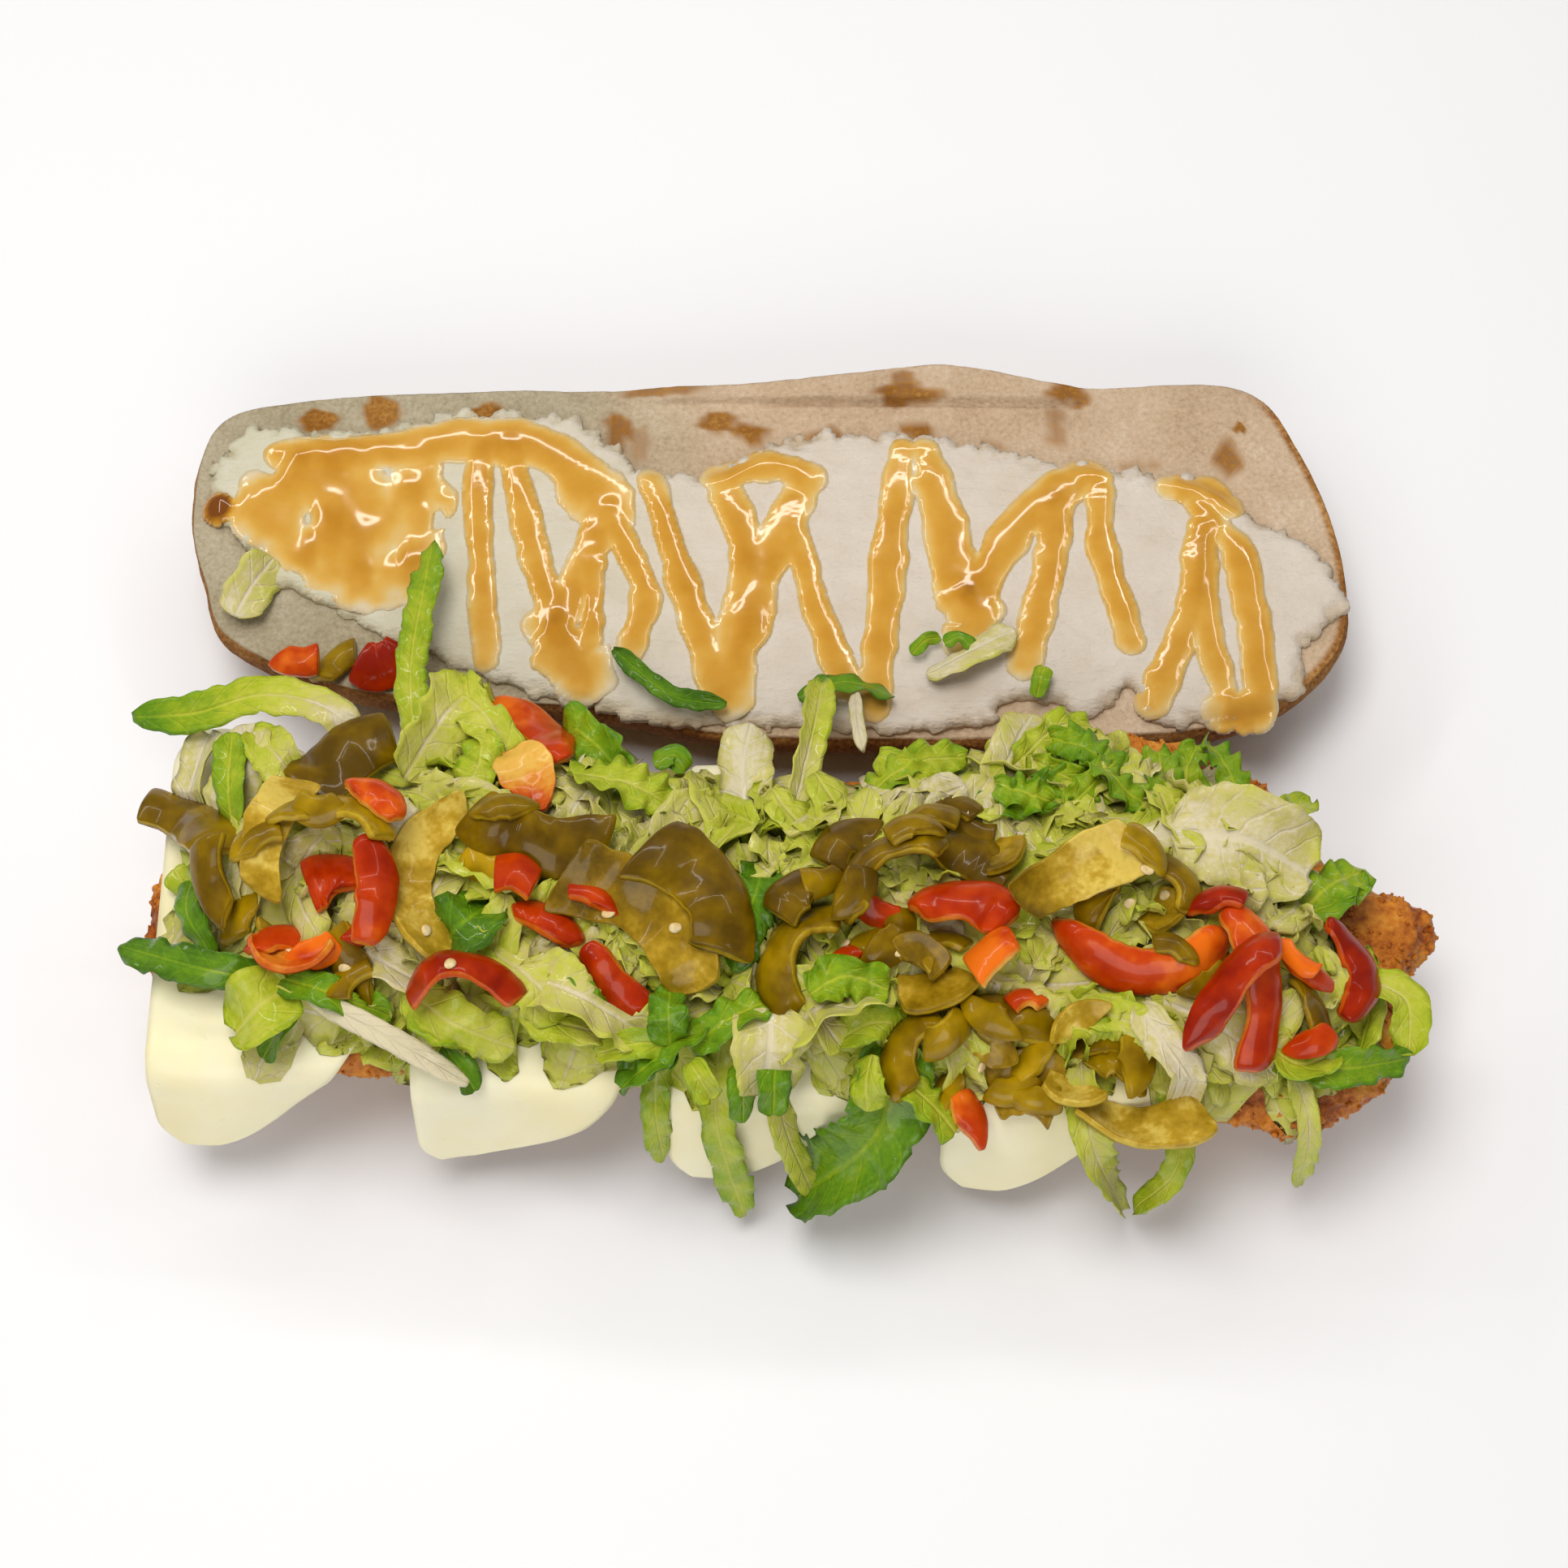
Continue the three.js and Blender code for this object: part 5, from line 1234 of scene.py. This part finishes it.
def strewn_lettuce(kind, seed, shapes, lengths, widths, ruffle, thick, density, lean, lift, green,
                   edge_green, vary):
    """One piece of short shreds strewn over the core, then let down to rest and tuck under."""
    random = np.random.default_rng(seed)
    rows, columns = 12, 5
    kinds = []
    for index in range(shapes):
        length = random.uniform(*lengths)
        bend = length * random.uniform(-0.16, 0.16)
        arch = length * random.uniform(0.0, 0.12)
        line = smooth_line([(-length / 2, 0, -arch), (0, bend, 0), (length / 2, 0, -arch)], rows)
        points, run, across = leaf_strip(line, random.uniform(*widths), ruffle, random.uniform(-0.12, 0.16),
                                         0.0, thick, seed + index, columns)
        kinds.append(make_piece(f"{kind}_{index}", points - LAYOUT_ZERO, sheet_faces(rows, columns).tolist(),
                                {"run": run, "across": across}))
    piece = strew(kind, core, kinds, Per_square_metre=float(density), Least_scale=0.75, Most_scale=1.2,
                  Lean=lean, Lift=lift, Seed=seed, Finish=leaf_finish)
    points = places_of(piece)
    own, across = np.empty(len(points), np.float32), np.empty(len(points), np.float32)
    piece.data.attributes["own_tone"].data.foreach_get("value", own)
    piece.data.attributes["across"].data.foreach_get("value", across)
    patch = 0.18 * lumps(points, 26, 61)
    keep_value(piece.data, "green", green + edge_green * across ** 2 + vary * (own * 2 - 1) + patch)
    move_to(piece, drape(points, 0.25))
    return piece


# The shreds that stand out: tone from whitish 0 to dark green 1 at both ends, width, ruffle,
# and the places it runs through.
LONG_SHREDS = [
    (0.8, 0.0, 8.5, 0.4, (-132.5, 8, 45), (-119, 7, 49), (-106, 10.5, 50), (-93, 8, 50), (-85, 1, 48)),
    (0.04, 0.1, 12, 0.3, (-112, -16, 47), (-108, -4, 51), (-110, 5, 47)),
    (0.02, 0.1, 10, 0.3, (-121, -14, 43), (-118, -4, 46), (-117, 5, 43)),
    (0.6, 0.6, 7, 0.5, (-109, -20, 50), (-110, -10, 53), (-111, 2, 50)),
    (0.38, 0.2, 9, 0.6, (-107, 2, 50), (-100, -6, 54), (-97, -12, 53)),
    (0.4, 0.66, 7, 0.8, (-74, 0, 46), (-77, 22, 42), (-75, 55, 34)),
    (0.2, 0.3, 13, 0.8, (-76, -8, 50), (-68, 6, 51), (-62, 15, 46)),
    (0.42, 0.3, 11, 1.0, (-52, -9, 50), (-60, 5, 52), (-68, 14, 46)),
    (0.5, 0.44, 9, 1.4, (-60, 1, 52), (-61, -9, 55), (-65, -14, 54)),
    (0.72, 0.66, 10, 1.6, (-30, -10, 48), (-38, 0, 49), (-46, 7, 46)),
    (0.42, 0.48, 10, 1.8, (-43, -8, 52), (-32, -11, 54), (-22, -14, 50)),
    (0.75, 0.75, 5, 1.0, (-26, -4, 47), (-22, -2, 48), (-20, -5, 46)),
    (0.12, 0.42, 7, 0.4, (2, -14, 49), (6, 6, 46), (8, 20, 37)),
    (0.8, 0.86, 6, 0.7, (3, 20, 30), (13, 22, 33), (23, 20, 30)),
    (0.0, 0.0, 3, 0.1, (15, 20, 32), (15, 11, 38), (16, 2, 42)),
    (0.02, 0.06, 12, 0.2, (-7, -15, 47), (-8, -4, 46), (-7, 8, 42)),
    (0.6, 0.5, 8, 1.4, (15, -12, 47), (26, -4, 48), (37, -1, 45)),
    (0.5, 0.46, 8, 1.8, (19, -1, 46), (27, -8, 49), (35, -13, 49)),
    (0.08, 0.14, 10, 0.3, (42, -10, 48), (47, 2, 47), (51, 10, 42)),
    (0.46, 0.4, 7, 1.6, (46, -4, 47), (55, 5, 46), (63, 7, 42)),
    (0.66, 0.74, 8, 2.3, (54, 3, 46), (61, -2, 50), (69, -6, 46)),
    (0.64, 0.6, 7, 2.2, (42, -10, 52), (47, -13, 54), (53, -14, 52)),
    (0.6, 0.68, 7, 2.2, (60, -2, 48), (65, -9, 52), (72, -14, 49)),
    (0.78, 0.66, 8, 2.3, (39, -14, 49), (47, -14, 52), (57, -7, 48)),
    (0.54, 0.64, 7, 2.0, (56, -15, 50), (62, -9, 51), (68, -1, 46)),
    (0.5, 0.56, 6, 2.0, (50, -3, 48), (57, -8, 50), (66, -12, 48)),
    (0.74, 0.66, 8, 2.0, (77, -17, 49), (76, -8, 48), (76, 1, 43)),
    (0.56, 0.64, 7, 1.8, (84, -14, 47), (81, -6, 46), (84, 3, 42)),
    (0.62, 0.7, 7, 1.6, (91, -14, 46), (90, -5, 45), (86, 4, 42)),
    (0.03, 0.03, 8, 0.2, (69, -23, 54), (82, -22, 55), (95, -24, 50)),
    (0.06, 0.1, 21, 0.25, (76, -22, 54), (90, -24, 56), (103, -29, 50)),
    (0.48, 0.5, 7, 1.2, (94, -20, 44), (101, -13, 44), (107, -9, 40)),
    (0.6, 0.66, 10, 1.6, (99, -38, 47), (107, -31, 48), (116, -25, 43)),
    (0.7, 0.72, 8, 1.4, (101, -37, 48), (108, -34, 48), (114, -26, 44)),
    (0.36, 0.44, 8, 0.5, (112, -48, 44), (121, -53, 44), (122, -63, 40)),
    (0.6, 0.82, 8, 0.8, (94, -66, 43), (108, -67, 44), (122, -63, 39)),
    (0.45, 0.4, 8, 1.0, (93, -63, 46), (99, -67, 46), (107, -64, 44)),
    (0.16, 0.4, 5, 0.4, (98, -64, 42), (102, -76, 36), (103, -81, 14)),
    (0.28, 0.34, 8, 0.6, (57, -62, 44), (60, -80, 35), (68, -85, 9)),
    (0.42, 0.48, 6, 0.6, (74, -62, 43), (77, -81, 30), (70, -86, 12)),
    (0.7, 0.84, 17, 0.7, (22, -60, 46), (18, -77, 34), (3, -83, 11)),
    (0.26, 0.3, 6, 0.5, (-4, -60, 45), (0, -75, 33), (6, -83, 12)),
    (0.36, 0.58, 8, 0.8, (-12, -58, 46), (-13, -75, 34), (-8, -85, 6)),
    (0.5, 0.5, 6, 0.6, (-24, -58, 44), (-25, -72, 36), (-24, -78, 20)),
    (0.74, 0.7, 8, 1.2, (-31, -68, 43), (-22, -64, 49), (-14, -60, 48)),
    (0.68, 0.7, 8, 1.2, (-18, -64, 47), (-10, -60, 53), (-2, -55, 50)),
    (0.72, 0.84, 8, 1.2, (-22, -64, 49), (-22, -60, 55), (-22, -53, 52)),
    (0.5, 0.46, 6, 0.6, (-21, -64, 48), (-28, -64, 50), (-36, -65, 46)),
    (0.74, 0.8, 8, 1.4, (-21, -65, 47), (-26, -68, 48), (-31, -71, 43)),
    (0.45, 0.42, 6, 0.6, (-18, -67, 47), (-16, -70, 47), (-14, -73, 43)),
    (0.84, 0.9, 9, 1.0, (-4, -28, 52), (-6, -38, 58), (-10, -50, 52)),
    (0.1, 0.12, 15, 0.6, (-2, -58, 52), (-3, -66, 52), (-4, -72, 44)),
    (0.22, 0.2, 18, 1.0, (-2, -62, 46), (8, -58, 54), (19, -52, 51)),
    (0.0, 0.3, 8, 0.3, (6, -58, 53), (8, -62, 53), (11, -65, 50)),
    (0.62, 0.6, 9, 1.8, (5, -56, 55), (12, -53, 57), (20, -55, 55)),
    (0.5, 0.5, 7, 0.8, (10, -64, 50), (16, -61, 52), (23, -60, 50)),
    (0.42, 0.44, 9, 1.0, (17, -66, 49), (16, -71, 47), (16, -75, 42)),
    (0.75, 0.8, 6, 0.4, (-8, -66, 46), (-8, -72, 46), (-8, -77, 41)),
    (0.78, 0.8, 7, 0.4, (-1, -64, 48), (-2, -71, 48), (-2, -76, 43)),
    (0.5, 0.55, 9, 1.2, (24, -70, 44), (28, -74, 43), (33, -78, 38)),
    (0.18, 0.2, 12, 0.7, (37, -50, 52), (46, -57, 53), (56, -63, 49)),
    (0.3, 0.3, 8, 0.7, (52, -55, 50), (68, -61, 51), (87, -68, 42)),
    (0.14, 0.1, 12, 0.5, (70, -54, 50), (84, -61, 50), (95, -68, 42)),
    (0.04, 0.04, 8, 0.2, (68, -57, 52), (73, -65, 51), (79, -73, 47)),
    (0.45, 0.4, 8, 1.2, (50, -65, 50), (56, -62, 52), (64, -66, 50)),
    (0.3, 0.36, 7, 0.8, (76, -46, 50), (80, -52, 52), (83, -58, 50)),
    (0.8, 0.9, 8, 0.6, (-98, -50, 46), (-114, -48, 49), (-131, -41, 42)),
    (0.4, 0.44, 15, 0.3, (-106, -60, 44), (-101, -56, 49), (-96, -52, 47)),
    (0.7, 0.8, 7, 0.4, (-95, -55, 46), (-98, -60, 45), (-101, -64, 41)),
    (-0.1, -0.1, 5, 0.05, (-92, -54, 49), (-76, -62.5, 49), (-61, -70, 43)),
    (0.85, 0.85, 6, 0.6, (-66, -62, 43), (-63, -66, 43), (-60, -70, 39)),
    (0.78, 0.7, 7, 0.6, (-100, -49, 47), (-88, -54, 51), (-76, -57, 46)),
    (0.84, 0.8, 6, 0.5, (-112, -44, 45), (-117, -36, 48), (-118, -27, 43)),
    (0.42, 0.42, 7, 0.5, (-122, -24, 41), (-119, -28, 42), (-117, -30, 41)),
    (0.95, 0.86, 13, 0.9, (-69, -47, 50), (-62, -42, 56), (-57, -36, 52)),
    (0.02, 0.02, 8, 0.3, (-78, -16, 55), (-74, -22, 58), (-71, -26, 56)),
    (0.05, 0.05, 10, 0.4, (-83, -44, 50), (-76, -49, 51), (-70, -52, 49)),
    (0.2, 0.2, 13, 0.8, (-50, -50, 50), (-39, -56, 54), (-27, -61, 47)),
    (0.2, 0.3, 12, 0.9, (-58, -45, 52), (-49, -52, 53), (-42, -58, 49)),
    (0.7, 0.7, 6, 0.8, (-42, -49, 52), (-37, -52, 54), (-32, -54, 52)),
    (0.36, 0.36, 11, 0.9, (-74, -52, 48), (-64, -60, 51), (-52, -63, 44)),
    (0.45, 0.5, 8, 1.0, (-72, -56, 48), (-66, -60, 48), (-59, -60, 45)),
    (0.35, 0.3, 9, 0.8, (-51, -57, 50), (-42, -60, 49), (-34, -61, 46)),
]
LEAF_ROWS, LEAF_COLUMNS = 44, 9


def leaves_piece(name, rows, seed, on_heap):
    """One piece of several long shreds."""
    one = sheet_faces(LEAF_ROWS, LEAF_COLUMNS)
    points, faces = [], []
    values = {"green": [], "run": [], "across": []}
    for index, (tone, far_tone, wide, ruffle, *way) in enumerate(rows):
        random = np.random.default_rng(seed + index)
        thick = 1.5 if ruffle < 0.2 else 0.45 + 0.9 * max(0.35 - max(tone, far_tone), 0)
        leaf, run, across = leaf_strip(smooth_line(way, LEAF_ROWS), wide, ruffle, random.uniform(-0.08, 0.2),
                                       random.uniform(-0.4, 0.4), thick, seed + index, LEAF_COLUMNS)
        points.append(drape(leaf, 0.0) if on_heap else leaf)
        values["green"].append(tone + (far_tone - tone) * run / run.max() + 0.12 * across ** 2 - 0.03)
        values["run"].append(run)
        values["across"].append(across)
        faces.append(one + index * len(leaf))
    joined = {key: np.concatenate(value) for key, value in values.items()}
    piece = make_piece(name, np.concatenate(points), np.concatenate(faces).tolist(), joined)
    piece.data.materials.append(leaf_finish)
    return piece


lettuce = [core, leaves_piece("lettuce_long_shreds", LONG_SHREDS, 70, True)]
for seed, (kind, values) in enumerate(SHRED_KINDS.items(), 21):
    lettuce.append(strewn_lettuce(kind, seed, *values))
for piece in lettuce:
    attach(piece, "root")
    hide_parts("lettuce")

# ---- Chopped bits of pepper and seeds ------------------------------------------------------
# Small bits that came off when the peppers were chopped, and flat cream seeds. They lie loose
# between the long strips where they fell.

# Each bit: x, y, turn, length, width, tilt of the skin and tone.
GREEN_BITS = [
    (19, -46, 30, 9, 7, 60, 0.4), (26, -50, -20, 9, 6, -60, 0.4), (21, -42, 70, 8, 6, 75, 0.4),
    (31, -46, 10, 10, 6, 50, 0.3), (37, -20, -30, 10, 7, 70, 0.1), (29, -23, 20, 11, 7, 60, 0.25),
    (42, -26, 60, 9, 6, -60, 0.4), (33, -18, -10, 9, 6, 60, 0.15), (12, -37, 50, 9, 6, 70, 0.15),
    (24, -28, 0, 8, 6, 60, 0.4), (30, -62, 40, 9, 7, 50, 0.5), (38, -65, -30, 10, 7, -60, 0.6),
    (44, -69, 10, 9, 6, 60, 0.5), (50, -65, 60, 10, 7, 50, 0.7), (56, -69, -20, 10, 7, -65, 0.8),
    (62, -64, 20, 8, 6, 60, 0.4), (41, -59, -40, 9, 6, 70, 0.5), (34, -70, 70, 8, 6, 55, 0.5),
    (49, -71, -10, 9, 6, 60, 0.6), (57, -62, 30, 9, 6, -60, 0.7), (66, -66, 80, 9, 7, 60, 0.6),
    (-101, -27, 40, 9, 6, 60, 0.6), (-90, -20, 0, 9, 6, 60, 0.5), (-83, -52, 50, 9, 6, 55, 0.5),
    (-58, -28, -20, 9, 6, 60, 0.8), (-105, -37, 60, 9, 6, 60, 0.5), (-97, -40, -30, 8, 6, -60, 0.6),
    (-54, -22, 10, 9, 6, 70, 0.4), (73, -37, 40, 9, 7, -60, 0.6), (68, -30, -50, 8, 7, 60, 0.7),
    (81, -52, 20, 8, 6, 60, 0.4), (74, -49, -30, 8, 5, 60, 0.4), (7, -34, 30, 8, 6, 60, 0.3),
]
RED_BITS = [
    (-91, -45, 10, 9, 6, 60, 1.0), (13, -49, 20, 6, 4, 60, 0.5), (19, -38, -20, 8, 5, 60, 0.6),
    (47, -57, 10, 7, 5, 60, 0.7), (99, -49, -50, 9, 4, 60, 0.9), (84, -40, 10, 9, 6, 60, 0.1),
    (-83, -39, 80, 12, 5, 60, 0.3), (-98, -45, 20, 9, 6, 60, 0.5),
    (101, -62, 10, 8, 5, 60, 0.6), (-38, -38, -30, 8, 5, 60, 0.5),
]
SEEDS = [
    (-96, -45), (-63, -53), (-31, -29), (-85, -49), (22, -48), (67, -37), (-69, -43), (-21, -43),
    (38, -67), (-34, -40), (46, -70), (12, -45), (74, -35), (70, -33),
]
# Half a seed's length and width, and its profile: share of the outline and height.
SEED_LONG, SEED_WIDE = 1.45, 1.1
SEED_PROFILE = ((0.1, -0.35), (0.8, -0.3), (1.0, 0.0), (0.86, 0.28), (0.5, 0.38), (0.1, 0.4))
SEED_SIDES = 14
# How far above and below its middle a bit's ends may lie, and how high it lies on its bed.
BIT_UP, BIT_DOWN, BIT_LIFT = 1.5, 2.5, 0.4
under_bits = tree_of(strips + lettuce)


def dropped_on_bed(x, y):
    """Where something dropped at a layout place lands, in metres, and which way it faces there."""
    start = Vector(((x + LAYOUT_ZERO[0]) / 1000, (y + LAYOUT_ZERO[1]) / 1000, DROP_FROM))
    return under_bits.ray_cast(start, DOWN)[:2]


def chopped_bits(kind, rows, finish):
    """One piece of loose bits, each laid on what carries it."""
    points, faces, values = [], [], {"flesh": [], "inner": [], "own_tone": []}
    count = 0
    for index, (x, y, turn, long, wide, tilt, tone) in enumerate(rows):
        reach = np.array((math.cos(math.radians(turn)), math.sin(math.radians(turn)))) * long / 2
        arc = arc_through((x, y) - reach, (x, y) + reach, long * (0.24 if index % 2 else -0.2))
        heights = []
        for place in ((x, y) - reach * 0.7, np.array((x, y)), (x, y) + reach * 0.7):
            found = dropped_on_bed(*place)[0]
            heights.append(found.z * 1000 if found else 0.0)
        heights = np.clip(heights, heights[1] - BIT_DOWN, heights[1] + BIT_UP) + BIT_LIFT
        lie = (np.array((-1, 0, 1)), heights, np.full(3, math.radians(tilt)))
        bit, skin, kept_values = pepper_wall(arc, lie, wide, tone, 300 + index, 0.15, 18)
        points.append(bit)
        faces += [[corner + count for corner in face] for face in skin]
        count += len(bit)
        for key, value in kept_values.items():
            values[key].append(value)
    joined = {key: np.concatenate(value) for key, value in values.items()}
    piece = make_piece(f"{kind}_bits", np.concatenate(points), faces, joined)
    piece.data.materials.append(finish)
    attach(piece, "root")


chopped_bits("green_pepper", GREEN_BITS, pickled_green)
chopped_bits("red_pepper", RED_BITS, fresh_red)


def pepper_seeds():
    """The seeds, flat and a little pointed, each laid on the slope that it fell on."""
    random = np.random.default_rng(4)
    rings_of, faces_of = [], []
    for index, (x, y) in enumerate(SEEDS):
        place, normal = dropped_on_bed(x, y)
        turn = normal.to_track_quat("Z", "Y").to_matrix()
        swing = random.uniform(0, math.pi)
        angle = np.linspace(0, 2 * math.pi, SEED_SIDES, endpoint=False)
        outline = np.column_stack([SEED_LONG * np.cos(angle) * (1 + 0.14 * np.cos(angle)),
                                   SEED_WIDE * np.sin(angle)])
        rings = []
        for share, height in SEED_PROFILE:
            flat = outline * share
            turned = np.column_stack([flat[:, 0] * math.cos(swing) - flat[:, 1] * math.sin(swing),
                                      flat[:, 0] * math.sin(swing) + flat[:, 1] * math.cos(swing),
                                      np.full(SEED_SIDES, height + 0.2)])
            rings.append(turned @ np.array(turn).T + np.array(place) * 1000 - LAYOUT_ZERO)
        points, faces = ringed(rings)
        faces_of += [[corner + index * len(points) for corner in face] for face in faces]
        rings_of.append(points)
    material, tree, shader, here = start_material("cream_seed", Roughness=0.4, IOR=1.45)
    colour = shades(tree, grain(tree, here, 1.2), [(0.35, "#d8b978"), (0.65, "#eddcae")])
    tree.links.new(colour, shader.inputs["Base Color"])
    bumpy(tree, shader, grain(tree, here, 0.5), 0.15, 0.4)
    piece = make_piece("pepper_seeds", np.concatenate(rings_of), faces_of)
    piece.data.materials.append(material)
    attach(piece, "root")


pepper_seeds()

# ---- Loose scraps --------------------------------------------------------------------------
# A few scraps of leaf that fell on the upper half when the lettuce was strewn. They lie free on
# the spread and the bare crumb, thin and a little curled.

LOOSE_SCRAPS = [
    [(0.95, 0.9, 4.5, 0.5, (-36, 31, 31), (-24, 20, 31.5), (-12, 18, 31))],
    [(0.05, 0.1, 8, 0.3, (30, 25, 30.5), (40, 30, 32), (49, 36, 30.5)),
     (0.72, 0.66, 3.4, 0.7, (27, 30, 30.4), (30, 33, 31.4), (33, 34, 30.4)),
     (0.7, 0.75, 3.4, 0.7, (34, 32, 31), (37, 33, 32), (40, 31, 31)),
     (0.7, 0.6, 4.2, 0.7, (53, 20, 30), (54, 24, 31), (55, 27, 30))],
    [(0.1, 0.14, 11, 0.3, (-117, 40, 28.6), (-114, 47, 29.4), (-110, 54, 29))],
]
for index, rows in enumerate(LOOSE_SCRAPS, 1):
    scrap = leaves_piece(f"loose_scrap_{index}", rows, 140 + index, False)
    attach(scrap, "root")
    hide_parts(f"lettuce_scrap_{index}")

# ---- Floor, light and camera ---------------------------------------------------------------
# A plain pale floor and soft studio light: a wide box overhead, three long tubes that give wet
# skin its glints, and a fill from the front. The camera looks down at the photograph's angle.

CAMERA_TARGET = Vector((0.5, -8.4, 30.0)) / 1000
CAMERA_DISTANCE = 0.6
CAMERA_ELEVATION = math.radians(65)
# This lens frames 325 mm at the target, which is 0.168 mm for each of the 1932 pixels.
CAMERA_LENS = 66.55
CAMERA_WAY = Vector((0, -math.cos(CAMERA_ELEVATION), math.sin(CAMERA_ELEVATION)))
CAMERA_PLACE = CAMERA_TARGET + CAMERA_WAY * CAMERA_DISTANCE

floor_mesh = bpy.data.meshes.new("floor")
floor_mesh.from_pydata([(-3, -3, 0), (3, -3, 0), (3, 3, 0), (-3, 3, 0)], [], [(0, 1, 2, 3)])
floor = bpy.data.objects.new("floor", floor_mesh)
bpy.context.scene.collection.objects.link(floor)
floor_finish, _, floor_shader, _ = start_material("pale_floor", Roughness=0.9)
floor_shader.inputs["Base Color"].default_value = linear("#f4f6fc")
floor_mesh.materials.append(floor_finish)

world = bpy.data.worlds.new("soft_room")
bpy.context.scene.world = world
world.use_nodes = True
world.node_tree.nodes["Background"].inputs["Color"].default_value = linear("#fbfaf8")
world.node_tree.nodes["Background"].inputs["Strength"].default_value = 0.16


def area_light(name, place, wide, tall, power, mirrored=True):
    """A soft lamp with a lying long side, turned to the sandwich; screened ones leave no glint."""
    data = bpy.data.lights.new(name, "AREA")
    data.shape = "RECTANGLE"
    data.size = wide
    data.size_y = tall
    data.energy = power
    data.color = (1.0, 0.96, 0.9)
    lamp = bpy.data.objects.new(name, data)
    bpy.context.scene.collection.objects.link(lamp)
    lamp.location = place
    lamp.visible_glossy = mirrored
    lamp.rotation_euler = (Vector((0, 0, 0.02)) - Vector(place)).to_track_quat("-Z", "Y").to_euler()


area_light("ceiling_softbox", (-0.2, 0.05, 1.2), 0.7, 0.5, 9.0, mirrored=False)
area_light("back_tube", (0.05, 0.75, 1.0), 1.2, 0.05, 2.2)
area_light("left_tube", (-0.75, 0.35, 0.85), 1.0, 0.05, 1.7)
area_light("right_tube", (0.7, 0.35, 0.95), 1.0, 0.05, 1.1)
area_light("front_fill", (-0.1, -1.0, 0.75), 1.0, 0.6, 4.9)

camera_data = bpy.data.cameras.new("camera")
camera_data.lens = CAMERA_LENS
camera_data.clip_start = 0.01
camera = bpy.data.objects.new("camera", camera_data)
bpy.context.scene.collection.objects.link(camera)
camera.location = CAMERA_PLACE
camera.rotation_euler = (CAMERA_TARGET - CAMERA_PLACE).to_track_quat("-Z", "Y").to_euler()
bpy.context.scene.camera = camera
bpy.context.scene.view_settings.view_transform = "Standard"
